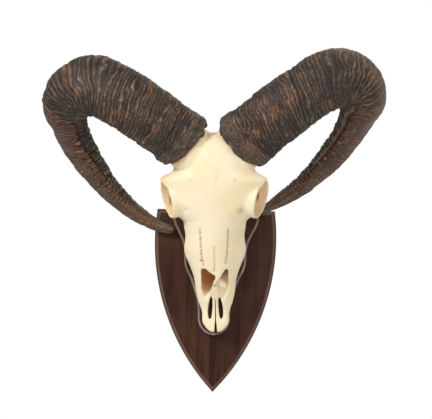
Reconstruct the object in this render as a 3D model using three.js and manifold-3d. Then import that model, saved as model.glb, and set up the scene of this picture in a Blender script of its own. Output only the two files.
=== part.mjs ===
// Ram skull with horns on a wooden wall shield, in millimetres, +Z up.
// The wall is the plane y = 0, the skull faces -Y, and the origin is the middle of the shield's back face.
// Left and right are the ram's own: its left side is at +X.
import * as THREE from "three";
import { mergeVertices } from "three/addons/utils/BufferGeometryUtils.js";
import Module from "manifold-3d";

const wasm = await Module();
wasm.setup();

// ---- driving dimensions ----

// Pieces that touch are this far apart, so that no two of them share any space.
const CONTACT_GAP = 0.3;

// Shield: an inverted gothic arch, two equal arcs that meet in the point below.
const SHIELD_THICK = 20;
const SHIELD_HALF_WIDTH = 81;
const SHIELD_ARC_RADIUS = 292.5;
const SHIELD_TOP_OVER_WIDEST = 40.5;
const SHIELD_ARC_STEPS = 14;
// The moulding: how far in from the edge each step of its profile lies, and how far it stands off the wall.
const SHIELD_MOULDING = [
  { inset: 1, stand: 0 },
  { inset: 0, stand: 1 },
  { inset: 0, stand: 10 },
  { inset: 0.8, stand: 11.6 },
  { inset: 3, stand: 12.2 },
  { inset: 4.2, stand: 14.2 },
  { inset: 6.6, stand: 17 },
  { inset: 9, stand: 18.6 },
  { inset: 9.6, stand: 20 },
];

// Keyhole hanger plate, let into the back of the shield.
const HANGER_WIDTH = 18;
const HANGER_HEIGHT = 52;
const HANGER_THICK = 2;
const HANGER_LEVEL = 82;
const HANGER_LEDGE = 3;
const HANGER_POCKET_DEPTH = 8;
const KEYHOLE_HEAD_RADIUS = 5;
const KEYHOLE_SLOT_WIDTH = 4.6;
const KEYHOLE_SLOT_LENGTH = 15;

// Jaw block: a flat wooden block with the outline of a lower jaw, which carries the skull.
const BLOCK_THICK = 14;
const BLOCK_BEVEL = 3.4;
const BLOCK_CHIN_LEVEL = -44;
const BLOCK_TOP_LEVEL = 116;
const BLOCK_CORNER_RADIUS = 6;
const BLOCK_OUTLINE_STEPS = 20;
const BLOCK_HALF_WIDTH = [
  [-44, 0],
  [-42.6, 7.5],
  [-38.5, 13.6],
  [-32, 18.8],
  [-24, 21.2],
  [-12, 21.7],
  [4, 23.8],
  [18, 28],
  [31, 32.8],
  [42, 38.4],
  [52, 41],
  [66, 41.3],
  [78, 43.5],
  [92, 50],
  [104, 55.6],
  [112, 57.4],
];

// Where the skull sits: the tip of the muzzle on the palate plane, and its slight turn on the shield.
const MUZZLE_TIP = new THREE.Vector3(2.7, -46.4, -39);
const SKULL_ROLL_DEG = -1.1;
const SKULL_YAW_DEG = -2;

// The skull is given along three measures: across, from the middle; up, off the palate towards the viewer;
// and along, from the tip of the muzzle to the back of the head.
const SKULL_LENGTH = 258;
const CORE_RINGS = 25;
const CORE_SIDES = 18;
// How strongly the rings crowd towards the two ends, from 0 to 1.
const CORE_CROWDING = 0.45;
const CORE_HALF_WIDTH = [
  [0, 3],
  [2, 8.8],
  [5, 11.8],
  [9, 15],
  [13.5, 17.4],
  [18, 18.1],
  [24, 17.7],
  [30, 18.7],
  [41, 22.4],
  [54, 25.3],
  [70, 27.2],
  [86, 32],
  [104, 39],
  [110, 40],
  [127, 38],
  [143, 40],
  [152, 39],
  [166, 31],
  [180, 27],
  [198, 30],
  [215, 35],
  [232, 37],
  [246, 34],
  [254, 27],
  [258, 15],
];
const CORE_TOP = [
  [0, 3.5],
  [6, 6],
  [16, 9],
  [30, 14],
  [46, 25],
  [60, 37],
  [75, 48],
  [95, 58],
  [120, 71],
  [150, 85],
  [175, 96],
  [200, 105],
  [222, 109],
  [238, 107],
  [250, 100],
  [258, 88],
];
const CORE_WIDEST = [
  [0, 1.8],
  [20, 4],
  [45, 9],
  [70, 17],
  [95, 25],
  [112, 31],
  [135, 38],
  [155, 48],
  [180, 60],
  [215, 62],
  [258, 58],
];
const CORE_BOTTOM = [
  [0, 0],
  [150, 0],
  [158, 5],
  [166, 16],
  [178, 27],
  [200, 30],
  [240, 27],
  [252, 30],
  [258, 44],
];
const CORE_ROOF_POWER = [
  [0, 2.4],
  [40, 2.3],
  [70, 2],
  [120, 1.9],
  [160, 2.2],
  [200, 2.3],
  [258, 2.2],
];
const CORE_FLOOR_POWER = [
  [0, 3],
  [60, 3.4],
  [145, 3.2],
  [175, 2.2],
  [258, 2.2],
];

// The frontal shelf: the broad brow over the eye sockets and under the horns.
const SHELF_SIDES = 10;
const SHELF_HALF_WIDTH = [
  [146, 37],
  [152, 43],
  [158, 48],
  [166, 51],
  [175, 53],
  [184, 57],
  [192, 63],
  [197, 67.5],
  [199.5, 68],
  [203, 65.2],
  [206, 59.5],
  [209, 55],
  [216, 54],
  [226, 53],
  [238, 44],
  [248, 32],
  [254, 20],
];
const SHELF_EDGE_LEVEL = [
  [146, 70],
  [158, 78],
  [175, 87],
  [197, 90],
  [212, 86],
  [235, 82],
  [256, 78],
];
const SHELF_THICK = [
  [146, 16],
  [165, 12],
  [197, 9],
  [210, 14],
  [235, 22],
  [256, 14],
];
const SHELF_SAG = 0.5;
const SHELF_EDGE_POWER = 0.8;

// Eye sockets: a ring whose axis points sideways, a little towards the muzzle and a little up.
const SOCKET_CENTRE = { across: 59.4, up: 66.5, along: 174.5 };
const SOCKET_AXIS = { across: 0.92, up: 0.27, along: -0.25 };
const SOCKET_OUTER_RADIUS = 26;
const SOCKET_INNER_RADIUS = 21.6;
const SOCKET_DEPTH = 38;
const SOCKET_FLOOR_RADIUS = 15;
const SOCKET_SIDES = 14;

// Nasal opening and the two slits in the palate in front of it.
const NOSE_START = 46;
const NOSE_MOUTH_END = 84;
const NOSE_CAVE_END = 122;
// The nose's floor above the palate, which rises forward to the palate slits.
const NOSE_FLOOR = [
  [46, 20],
  [54, 13],
  [64, 7],
  [80, 5],
];
const NOSE_OVERCUT = 8;
const NOSE_POWER = 0.7;
const NOSE_RINGS = 9;
const NOSE_SIDES = 12;
const NOSE_HALF_WIDTH = [
  [46, 3],
  [52, 9],
  [60, 14.5],
  [70, 17.5],
  [84, 17.5],
  [100, 16],
  [122, 10],
];
const NASAL_TIP_LEFT = 66;
const NASAL_TIP_RIGHT = 77;
const NASAL_THICK = 3;
const NASAL_ROOT = 90;
const NASAL_HALF_WIDTH = 3.8;
const NASAL_TIP_SHARE = 0.12;
const NASAL_ARCH = 0.012;
const NASAL_RINGS = 6;
const NASAL_SIDES = 8;
// The slits run from behind the muzzle's end to the nose, and lean towards each other at the back.
const PALATE_SLIT = { from: 17, to: 52, across: 7.5, halfWidth: 3.2, lean: 2.9, taper: 0.35 };
const SLIT_BELOW = 4;
const SLIT_ABOVE = 24;
const SLIT_SIDES = 14;
// The cleft between the two halves of the muzzle: its half width, from past the tip to the nose.
const MUZZLE_CLEFT = [
  [-4, 2.2],
  [4, 1.9],
  [16, 0.8],
  [46, 0.5],
];

// Cheek teeth, front to back: length along the row, width across it, and distance from the middle.
const TEETH = [
  { long: 8, wide: 7, across: 21.5 },
  { long: 9, wide: 9, across: 23 },
  { long: 10, wide: 11, across: 24.4 },
  { long: 13, wide: 13, across: 26 },
  { long: 15.5, wide: 13.5, across: 27.6 },
  { long: 17.5, wide: 13, across: 28.6 },
];
const TEETH_START = 76;
const TOOTH_REACH = 11;
const TOOTH_ROOT = 6;
const TOOTH_GAP = 0.4;
const TOOTH_WEAR = 1.5;
const TOOTH_CORNERS = 8;
const TOOTH_POWER = 0.6;

// Back of the head: the hole for the spinal cord.
const SPINAL_HOLE = { wide: 9.5, narrow: 8, long: 26, up: 42 };

// Horns: stations from the base to the tip. Each gives the place of the axis, the width across the axis as
// seen from the front, and the depth from front to back.
const HORN_RIGHT_STATIONS = [
  { x: -41, y: -133.8, z: 205.7, wide: 76, deep: 61 },
  { x: -64, y: -144, z: 222, wide: 76, deep: 61 },
  { x: -93, y: -156, z: 242, wide: 77, deep: 61 },
  { x: -122, y: -164, z: 259, wide: 77, deep: 60 },
  { x: -151.3, y: -163, z: 271.5, wide: 79, deep: 58 },
  { x: -177, y: -149, z: 267.7, wide: 72, deep: 56 },
  { x: -191.3, y: -126, z: 249.9, wide: 63, deep: 54 },
  { x: -188.5, y: -99, z: 226, wide: 47.4, deep: 51 },
  { x: -179, y: -73, z: 200, wide: 44, deep: 48 },
  { x: -160, y: -52, z: 171, wide: 38, deep: 42 },
  { x: -132, y: -40, z: 138, wide: 30, deep: 34 },
  { x: -103, y: -34, z: 114, wide: 23.5, deep: 26 },
  { x: -77, y: -31, z: 99.5, wide: 17, deep: 18 },
  { x: -60, y: -30, z: 94.5, wide: 13, deep: 13 },
];
const HORN_LEFT_STATIONS = [
  { x: 33.9, y: -130.6, z: 209.4, wide: 80, deep: 62 },
  { x: 57, y: -144, z: 229, wide: 78, deep: 62 },
  { x: 84, y: -158, z: 250, wide: 77, deep: 61 },
  { x: 111, y: -166, z: 270, wide: 75, deep: 60 },
  { x: 139.3, y: -164, z: 286.2, wide: 77.6, deep: 58 },
  { x: 164, y: -150, z: 285.6, wide: 74, deep: 56 },
  { x: 179.8, y: -127, z: 268.1, wide: 65, deep: 54 },
  { x: 176.6, y: -100, z: 244.7, wide: 47.6, deep: 51 },
  { x: 165.4, y: -75, z: 220, wide: 41, deep: 47 },
  { x: 146, y: -56, z: 192, wide: 37, deep: 41 },
  { x: 117, y: -45, z: 161, wide: 29, deep: 33 },
  { x: 88, y: -41, z: 139, wide: 21, deep: 24 },
  { x: 65, y: -40, z: 125, wide: 13.5, deep: 16 },
  { x: 50, y: -40, z: 118, wide: 10, deep: 11 },
];
const HORN_RINGS = 31;
const HORN_SIDES = 16;
const SHEATH_ROOM_RINGS = 4;
const HORN_KEEL = 0.05;
// The blunt end of the tip: how far each closing ring lies past the last station, and its size.
const HORN_TIP_END = [
  { ahead: 3, scale: 0.82 },
  { ahead: 5, scale: 0.45 },
];
// The sheaths' rims are slanted: how far the front of each reaches down over the forehead, how far its
// outer side stays back from the brow, and the share of the horn over which the rings straighten up.
const RIM_LEFT = { dip: 11, slant: 2.5 };
const RIM_RIGHT = { dip: 3, slant: -4.5 };
const RIM_SHARE = 0.22;
const SHEATH_GAP = 0.4;
// The bone stumps inside the sheaths: how far back from the rim each ring lies, its size against the rim,
// and how much nearer it is to the middle of the head.
const STUMP_STOPS = [
  { back: 52, scale: 0.45, inward: 0.5 },
  { back: 30, scale: 0.7, inward: 0.2 },
  { back: 12, scale: 0.8, inward: 0.03 },
  { back: SHEATH_GAP, scale: 0.8, inward: 0 },
];
const STUMP_DROP = 3;
const HORN_LEFT = { stations: HORN_LEFT_STATIONS, rim: RIM_LEFT };
const HORN_RIGHT = { stations: HORN_RIGHT_STATIONS, rim: RIM_RIGHT };

// ---- helpers for shapes ----

const rad = THREE.MathUtils.degToRad;

// The angles of a ring's points, once round.
const turn = (sides) => Array.from({ length: sides }, (_, i) => (i / sides) * 2 * Math.PI);

// A sine or cosine drawn towards its ends, which squares an oval's corners as the power falls below 1.
const squared = (value, power) => Math.sign(value) * Math.abs(value) ** power;

// A smooth curve through [place, value] knots that never overshoots them.
function profile(knots) {
  const at = knots.map((k) => k[0]);
  const value = knots.map((k) => k[1]);
  const slope = at.slice(1).map((a, i) => (value[i + 1] - value[i]) / (a - at[i]));
  const tangent = at.map((_, i) => {
    const before = slope[Math.max(i - 1, 0)];
    const after = slope[Math.min(i, slope.length - 1)];
    return before * after <= 0 ? 0 : (2 * before * after) / (before + after);
  });
  return (place) => {
    const p = THREE.MathUtils.clamp(place, at[0], at[at.length - 1]);
    let i = 0;
    while (i < slope.length - 1 && p > at[i + 1]) i += 1;
    const span = at[i + 1] - at[i];
    const t = (p - at[i]) / span;
    const rise = (1 + 2 * t) * (1 - t) ** 2 * value[i] + t * t * (3 - 2 * t) * value[i + 1];
    const lean = t * (1 - t) ** 2 * tangent[i] - t * t * (1 - t) * tangent[i + 1];
    return rise + lean * span;
  };
}

// A closed surface over a row of rings with equal numbers of points, with a fan over each end.
function skin(rings) {
  const sides = rings[0].length;
  const points = rings.flat().flatMap((p) => [p.x, p.y, p.z]);
  const index = [];
  for (let r = 0; r < rings.length - 1; r += 1) {
    for (let i = 0; i < sides; i += 1) {
      const a = r * sides + i;
      const b = r * sides + ((i + 1) % sides);
      index.push(a, b, b + sides, a, b + sides, a + sides);
    }
  }
  for (const r of [0, rings.length - 1]) {
    const middle = rings[r].reduce((sum, p) => sum.add(p), new THREE.Vector3()).divideScalar(sides);
    const centre = points.length / 3;
    points.push(middle.x, middle.y, middle.z);
    for (let i = 0; i < sides; i += 1) {
      const a = r * sides + i;
      const b = r * sides + ((i + 1) % sides);
      index.push(...(r === 0 ? [centre, b, a] : [centre, a, b]));
    }
  }
  const geometry = new THREE.BufferGeometry();
  geometry.setAttribute("position", new THREE.Float32BufferAttribute(points, 3));
  geometry.setIndex(index);
  return geometry;
}

// A geometry as a solid for joining and cutting, turned to face out.
function solid(geometry) {
  const bare = geometry.clone();
  bare.deleteAttribute("normal");
  bare.deleteAttribute("uv");
  const merged = mergeVertices(bare, 1e-4);
  const make = (triVerts) =>
    new wasm.Manifold(
      new wasm.Mesh({
        numProp: 3,
        vertProperties: new Float32Array(merged.attributes.position.array),
        triVerts: new Uint32Array(triVerts),
      }),
    );
  const corners = [...merged.index.array];
  const made = make(corners);
  return made.volume() < 0 ? make(corners.reverse()) : made;
}

// A solid as a geometry with flat faces.
function geometryOf(made) {
  const mesh = made.getMesh();
  const geometry = new THREE.BufferGeometry();
  const corners = new Float32Array(mesh.vertProperties);
  geometry.setAttribute("position", new THREE.BufferAttribute(corners, 3));
  geometry.setIndex(new THREE.BufferAttribute(new Uint32Array(mesh.triVerts), 1));
  geometry.computeVertexNormals();
  return geometry;
}

const joined = (solids) => solids.reduce((sum, one) => sum.add(one));

// A point of the skull from its three measures.
const bone = (across, up, along) => new THREE.Vector3(across, -up, along);

// A ball of bone with three half sizes.
function lump(place, size, sides = 8) {
  const ball = new THREE.SphereGeometry(1, sides, Math.ceil(sides / 2) + 1);
  ball.scale(size.across, size.up, size.along);
  ball.translate(place.x, place.y, place.z);
  return solid(ball);
}

// A bar of oval section through the given places. Each stop has a place, and its half sizes across and up.
function bar(stops, rings = 8, sides = 8) {
  const path = new THREE.CatmullRomCurve3(stops.map((stop) => stop.place));
  const share = (i) => i / (stops.length - 1);
  const thick = profile(stops.map((stop, i) => [share(i), stop.thick]));
  const tall = profile(stops.map((stop, i) => [share(i), stop.tall]));
  const made = [];
  for (let r = 0; r < rings; r += 1) {
    const t = r / (rings - 1);
    const ahead = path.getTangent(t);
    const up = bone(0, 1, 0).addScaledVector(ahead, -bone(0, 1, 0).dot(ahead)).normalize();
    const side = ahead.clone().cross(up);
    const ring = turn(sides).map((a) => {
      const place = path.getPoint(t);
      place.addScaledVector(side, Math.cos(a) * thick(t));
      return place.addScaledVector(up, Math.sin(a) * tall(t));
    });
    made.push(ring);
  }
  return solid(skin(made));
}

const pair = (make) => [make(1), make(-1)];

// ---- shield ----

// Half the shield's outline, from the top middle down the ram's left side to the point, moved in by inset.
function shieldOutline(inset) {
  const centreOffset = SHIELD_ARC_RADIUS - SHIELD_HALF_WIDTH;
  const drop = Math.sqrt(SHIELD_ARC_RADIUS ** 2 - centreOffset ** 2);
  const height = SHIELD_TOP_OVER_WIDEST + drop;
  const widest = height / 2 - SHIELD_TOP_OVER_WIDEST;
  const radius = SHIELD_ARC_RADIUS - inset;
  const top = height / 2 - inset;
  const from = Math.asin((top - widest) / radius);
  const to = -Math.acos(centreOffset / radius);
  const side = [];
  for (let i = 0; i <= SHIELD_ARC_STEPS; i += 1) {
    const a = from + ((to - from) * i) / SHIELD_ARC_STEPS;
    side.push([Math.cos(a) * radius - centreOffset, widest + Math.sin(a) * radius]);
  }
  const other = side.slice(0, -1).map(([x, z]) => [-x, z]);
  return [...side, ...other.reverse()];
}

function shieldGeometry() {
  const rings = SHIELD_MOULDING.map(({ inset, stand }) =>
    shieldOutline(inset).map(([x, z]) => new THREE.Vector3(x, -stand, z)),
  );
  const recess = new THREE.BoxGeometry(
    HANGER_WIDTH + 2 * CONTACT_GAP,
    2 * (HANGER_THICK + CONTACT_GAP),
    HANGER_HEIGHT + 2 * CONTACT_GAP,
  );
  recess.translate(0, 0, HANGER_LEVEL);
  const pocketWidth = HANGER_WIDTH - 2 * HANGER_LEDGE;
  const pocketHeight = KEYHOLE_SLOT_LENGTH + pocketWidth;
  const pocket = new THREE.BoxGeometry(pocketWidth, HANGER_POCKET_DEPTH * 2, pocketHeight);
  pocket.translate(0, 0, HANGER_LEVEL);
  return geometryOf(solid(skin(rings)).subtract(solid(recess)).subtract(solid(pocket)));
}

// ---- hanger ----

// A thin plate with a keyhole: a round hole for the nail's head and a narrow slot above it.
function hangerGeometry() {
  const plate = new THREE.BoxGeometry(HANGER_WIDTH, HANGER_THICK, HANGER_HEIGHT);
  plate.translate(0, -HANGER_THICK / 2, HANGER_LEVEL);
  const through = HANGER_THICK * 3;
  const head = new THREE.CylinderGeometry(KEYHOLE_HEAD_RADIUS, KEYHOLE_HEAD_RADIUS, through, 20);
  head.translate(0, 0, HANGER_LEVEL - KEYHOLE_SLOT_LENGTH / 2);
  const slot = new THREE.BoxGeometry(KEYHOLE_SLOT_WIDTH, through, KEYHOLE_SLOT_LENGTH);
  slot.translate(0, 0, HANGER_LEVEL);
  const end = new THREE.CylinderGeometry(KEYHOLE_SLOT_WIDTH / 2, KEYHOLE_SLOT_WIDTH / 2, through, 12);
  end.translate(0, 0, HANGER_LEVEL + KEYHOLE_SLOT_LENGTH / 2);
  return geometryOf([head, slot, end].reduce((left, cut) => left.subtract(solid(cut)), solid(plate)));
}

// ---- jaw block ----

function blockGeometry() {
  const halfWidth = profile(BLOCK_HALF_WIDTH);
  const levels = [];
  for (let i = 0; i <= BLOCK_OUTLINE_STEPS; i += 1) {
    const share = 1 - Math.cos((i / BLOCK_OUTLINE_STEPS) * (Math.PI / 2));
    levels.push(BLOCK_CHIN_LEVEL + (BLOCK_TOP_LEVEL - BLOCK_CHIN_LEVEL) * share);
  }
  const half = levels.map((z) => {
    const corner = Math.max(0, 1 - (BLOCK_TOP_LEVEL - z) / BLOCK_CORNER_RADIUS);
    return [halfWidth(z) - BLOCK_CORNER_RADIUS * (1 - Math.sqrt(1 - corner ** 2)), z];
  });
  const outline = [...half, ...half.slice(1).reverse().map(([x, z]) => [-x, z])];
  const insetOutline = (inset) =>
    outline.map(([x, z], i) => {
      const before = outline[(i + outline.length - 1) % outline.length];
      const after = outline[(i + 1) % outline.length];
      const run = new THREE.Vector2(after[0] - before[0], after[1] - before[1]).normalize();
      return [x - run.y * inset, z + run.x * inset];
    });
  const stands = [
    { inset: 0, stand: SHIELD_THICK + CONTACT_GAP },
    { inset: 0, stand: SHIELD_THICK + BLOCK_THICK - BLOCK_BEVEL },
    { inset: BLOCK_BEVEL * 0.35, stand: SHIELD_THICK + BLOCK_THICK - BLOCK_BEVEL * 0.35 },
    { inset: BLOCK_BEVEL, stand: SHIELD_THICK + BLOCK_THICK },
  ];
  const rings = stands.map(({ inset, stand }) =>
    insetOutline(inset).map(([x, z]) => new THREE.Vector3(x, -stand, z)),
  );
  return geometryOf(solid(skin(rings)));
}

// ---- horns ----

// The horn's axis and section at a share of its length, read from its stations, and how the ring there
// is tilted.
function hornShape({ stations, rim }) {
  const axis = new THREE.CatmullRomCurve3(
    stations.map(({ x, y, z }) => new THREE.Vector3(x, y, z)),
    false,
    "centripetal",
  );
  const share = (i) => i / (stations.length - 1);
  const wide = profile(stations.map((station, i) => [share(i), station.wide]));
  const deep = profile(stations.map((station, i) => [share(i), station.deep]));
  const front = new THREE.Vector3(0, -1, 0);
  return (t) => {
    const ahead = axis.getTangent(t);
    const facing = front.clone().addScaledVector(ahead, -front.dot(ahead)).normalize();
    const side = ahead.clone().cross(facing);
    const fade = Math.max(0, 1 - t / RIM_SHARE) ** 2;
    const tilt = { dip: rim.dip * fade, slant: rim.slant * fade };
    return { middle: axis.getPoint(t), ahead, facing, side, wide: wide(t), deep: deep(t), tilt };
  };
}

// One ring of the horn: an oval drawn out to three blunt keels.
function hornRing(shape, scale = 1) {
  return turn(HORN_SIDES).map((a) => {
    const reach = scale * (1 + HORN_KEEL * Math.cos(3 * a - Math.PI / 2));
    const tilt = Math.cos(a) * shape.tilt.slant - Math.sin(a) * shape.tilt.dip;
    const place = shape.middle.clone();
    place.addScaledVector(shape.side, (Math.cos(a) * reach * shape.wide) / 2);
    place.addScaledVector(shape.facing, (Math.sin(a) * reach * shape.deep) / 2);
    return place.addScaledVector(shape.ahead, scale * tilt);
  });
}

function hornGeometry(horn) {
  const shapeAt = hornShape(horn);
  const rings = [];
  for (let r = 0; r < HORN_RINGS; r += 1) rings.push(hornRing(shapeAt(r / (HORN_RINGS - 1))));
  const tip = shapeAt(1);
  for (const { ahead, scale } of HORN_TIP_END) {
    const end = { ...tip, middle: tip.middle.clone().addScaledVector(tip.ahead, ahead) };
    rings.push(hornRing(end, scale));
  }
  return geometryOf(solid(skin(rings)));
}

// The room that the sheath takes up at the head, with a small gap all round, in the frame of the object.
function sheathRoom(horn) {
  const shapeAt = hornShape(horn);
  const rings = [];
  const step = 2 / (HORN_RINGS - 1);
  for (let r = 0; r < SHEATH_ROOM_RINGS; r += 1) {
    const shape = shapeAt(r * step);
    const grow = 1 + (2 * SHEATH_GAP) / shape.deep;
    if (r === 0) shape.middle.addScaledVector(shape.ahead, -SHEATH_GAP);
    rings.push(hornRing(shape, grow));
  }
  return skin(rings);
}

// The stump of bone that carries a horn, from inside the head to just under the sheath, in the frame
// of the whole object.
function pedicle(horn) {
  const base = hornShape(horn)(0);
  const rings = STUMP_STOPS.map(({ back, scale, inward }) => {
    const middle = base.middle.clone().addScaledVector(base.ahead, -back);
    middle.x *= 1 - inward;
    middle.z -= STUMP_DROP;
    return hornRing({ ...base, middle }, scale);
  });
  return skin(rings);
}

// ---- skull ----

// The long core from the muzzle to the back of the head: each ring is a rounded section with its own
// roof, floor and widest level.
function skullCore() {
  const halfWidth = profile(CORE_HALF_WIDTH);
  const top = profile(CORE_TOP);
  const widest = profile(CORE_WIDEST);
  const bottom = profile(CORE_BOTTOM);
  const roofPower = profile(CORE_ROOF_POWER);
  const floorPower = profile(CORE_FLOOR_POWER);
  const rings = [];
  for (let r = 0; r < CORE_RINGS; r += 1) {
    const even = r / (CORE_RINGS - 1);
    const crowded = (1 - Math.cos(Math.PI * even)) / 2;
    const along = SKULL_LENGTH * THREE.MathUtils.lerp(even, crowded, CORE_CROWDING);
    const ring = turn(CORE_SIDES).map((a) => {
      const roof = Math.sin(a) > 0;
      const power = 2 / (roof ? roofPower(along) : floorPower(along));
      const reach = roof ? top(along) - widest(along) : widest(along) - bottom(along);
      const across = squared(Math.cos(a), power) * halfWidth(along);
      return bone(across, widest(along) + squared(Math.sin(a), power) * reach, along);
    });
    rings.push(ring);
  }
  return solid(skin(rings));
}

// The brow: a curved plate that falls from the middle of the forehead to its edges.
function frontalShelf() {
  const halfWidth = profile(SHELF_HALF_WIDTH);
  const top = profile(CORE_TOP);
  const edge = profile(SHELF_EDGE_LEVEL);
  const thick = profile(SHELF_THICK);
  const rings = [];
  for (const [along] of SHELF_HALF_WIDTH) {
    const ring = turn(SHELF_SIDES).map((a) => {
      const out = squared(Math.cos(a), SHELF_EDGE_POWER);
      const fall = (top(along) - edge(along)) * out ** 2 + SHELF_SAG * (1 - Math.abs(out));
      const middle = top(along) - thick(along) / 2 - fall;
      return bone(out * halfWidth(along), middle + (Math.sin(a) * thick(along)) / 2, along);
    });
    rings.push(ring);
  }
  return solid(skin(rings));
}

// A stretch of a cone along the socket's axis. Depths count inwards from the plane of the rim.
function socketCone(side, stops) {
  const axis = bone(side * SOCKET_AXIS.across, SOCKET_AXIS.up, SOCKET_AXIS.along).normalize();
  const centre = bone(side * SOCKET_CENTRE.across, SOCKET_CENTRE.up, SOCKET_CENTRE.along);
  const up = bone(0, 1, 0).addScaledVector(axis, -bone(0, 1, 0).dot(axis)).normalize();
  const along = axis.clone().cross(up);
  const rings = stops.map(({ depth, radius }) =>
    turn(SOCKET_SIDES).map((a) => {
      const place = centre.clone().addScaledVector(axis, -depth);
      return place.addScaledVector(along, Math.cos(a) * radius).addScaledVector(up, Math.sin(a) * radius);
    }),
  );
  return solid(skin(rings));
}

const socketWall = (side) =>
  socketCone(side, [
    { depth: -1.6, radius: SOCKET_OUTER_RADIUS - 1.8 },
    { depth: 0.6, radius: SOCKET_OUTER_RADIUS },
    { depth: 5, radius: SOCKET_OUTER_RADIUS - 0.6 },
    { depth: 14, radius: SOCKET_OUTER_RADIUS - 3 },
    { depth: 30, radius: SOCKET_OUTER_RADIUS - 5 },
  ]);

const socketHollow = (side) =>
  socketCone(side, [
    { depth: -8, radius: SOCKET_INNER_RADIUS + 2 },
    { depth: 0, radius: SOCKET_INNER_RADIUS },
    { depth: 8, radius: SOCKET_INNER_RADIUS },
    { depth: SOCKET_DEPTH - 12, radius: SOCKET_INNER_RADIUS - 3 },
    { depth: SOCKET_DEPTH, radius: SOCKET_FLOOR_RADIUS - 4 },
  ]);

// The cheek bar, from the cheek under the socket to the side of the braincase.
const cheekBar = (side) =>
  bar(
    [
      { place: bone(side * 33.5, 34, 118), thick: 4, tall: 9 },
      { place: bone(side * 34.5, 37, 134), thick: 4, tall: 10 },
      { place: bone(side * 37, 41, 148), thick: 4, tall: 10 },
      { place: bone(side * 47, 43, 156.5), thick: 4, tall: 8 },
      { place: bone(side * 59.5, 44, 165), thick: 4, tall: 6.5 },
      { place: bone(side * 62.5, 46, 180), thick: 3.4, tall: 6 },
      { place: bone(side * 58, 48, 197), thick: 3.4, tall: 5.5 },
      { place: bone(side * 48, 48, 210), thick: 4.4, tall: 5.5 },
      { place: bone(side * 36, 46, 222), thick: 7, tall: 6 },
      { place: bone(side * 26, 45, 228), thick: 8, tall: 8 },
    ],
    11,
    6,
  );

// The plates behind the palate, which hang between the braincase and the last teeth.
const wingPlate = (side) =>
  bar(
    [
      { place: bone(side * 15, 12, 142), thick: 3, tall: 10 },
      { place: bone(side * 13.5, 16, 160), thick: 2.2, tall: 13 },
      { place: bone(side * 12, 20, 180), thick: 2, tall: 13 },
      { place: bone(side * 12, 24, 198), thick: 2.4, tall: 10 },
    ],
    6,
    6,
  );

const earCapsule = (side) => lump(bone(side * 20, 27, 219), { across: 9, up: 11, along: 15 });

const earTube = (side) =>
  bar(
    [
      { place: bone(side * 24, 34, 228), thick: 6, tall: 6 },
      { place: bone(side * 38, 40, 233), thick: 4.5, tall: 4.5 },
    ],
    3,
  );

const neckProcess = (side) =>
  bar(
    [
      { place: bone(side * 25, 50, 243), thick: 8, tall: 8 },
      { place: bone(side * 27, 26, 243), thick: 4, tall: 6 },
      { place: bone(side * 26, 8, 238), thick: 2, tall: 3.4 },
    ],
    6,
  );

const condyle = (side) => lump(bone(side * 12.5, 37, 248), { across: 10, up: 14, along: 12 });

const nuchalCrest = () =>
  bar(
    [
      { place: bone(-34, 62, 240), thick: 5, tall: 5 },
      { place: bone(-20, 80, 248), thick: 5, tall: 6 },
      { place: bone(0, 88, 251.5), thick: 5, tall: 7 },
      { place: bone(20, 80, 248), thick: 5, tall: 6 },
      { place: bone(34, 62, 240), thick: 5, tall: 5 },
    ],
    9,
    6,
  );

// One cheek tooth: a short column with rounded corners and a worn edge round its grinding face.
function tooth(side, place, { long, wide }) {
  const outline = turn(TOOTH_CORNERS).map((a) => {
    const across = (squared(Math.cos(a), TOOTH_POWER) * wide) / 2;
    return [across, (squared(Math.sin(a), TOOTH_POWER) * (long - TOOTH_GAP)) / 2];
  });
  const levels = [
    { up: TOOTH_ROOT, scale: 1 },
    { up: TOOTH_WEAR - TOOTH_REACH, scale: 1 },
    { up: -TOOTH_REACH, scale: 0.86 },
  ];
  const rings = levels.map(({ up, scale }) =>
    outline.map(([x, z]) => bone(side * (place.across + x * scale), up, place.along + z * scale)),
  );
  return solid(skin(rings));
}

function toothRow(side) {
  let along = TEETH_START;
  return TEETH.map((one) => {
    const place = { across: one.across, along: along + one.long / 2 };
    along += one.long;
    return tooth(side, place, one);
  });
}

// The nose: an open trough behind the palate slits that runs on under the nasal bones as a cave.
function noseHollow() {
  const halfWidth = profile(NOSE_HALF_WIDTH);
  const top = profile(CORE_TOP);
  const bottom = profile(NOSE_FLOOR);
  const rings = [];
  for (let r = 0; r < NOSE_RINGS; r += 1) {
    const along = THREE.MathUtils.lerp(NOSE_START, NOSE_CAVE_END, r / (NOSE_RINGS - 1));
    const open = along < NOSE_MOUTH_END;
    const roof = top(along) + (open ? NOSE_OVERCUT : -NASAL_THICK);
    const floor = bottom(along);
    const ring = turn(NOSE_SIDES).map((a) => {
      const across = squared(Math.cos(a), NOSE_POWER) * halfWidth(along);
      const rise = squared(Math.sin(a), NOSE_POWER) * (roof - floor);
      return bone(across, (roof + floor + rise) / 2, along);
    });
    rings.push(ring);
  }
  return solid(skin(rings));
}

// A nasal bone's free end, which tapers forward over the nose.
function nasalTip(side, tip) {
  const top = profile(CORE_TOP);
  const rings = [];
  for (let r = 0; r < NASAL_RINGS; r += 1) {
    const t = r / (NASAL_RINGS - 1);
    const along = THREE.MathUtils.lerp(NASAL_ROOT, tip, t);
    const half = 2 * NASAL_HALF_WIDTH * (1 - (1 - NASAL_TIP_SHARE) * t ** 1.6);
    const ring = turn(NASAL_SIDES).map((a) => {
      const across = side * half + Math.cos(a) * half;
      const middle = top(along) - NASAL_THICK / 2 - NASAL_ARCH * across ** 2 - t;
      return bone(across, middle + (Math.sin(a) * NASAL_THICK) / 2, along);
    });
    rings.push(ring);
  }
  return solid(skin(rings));
}

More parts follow.
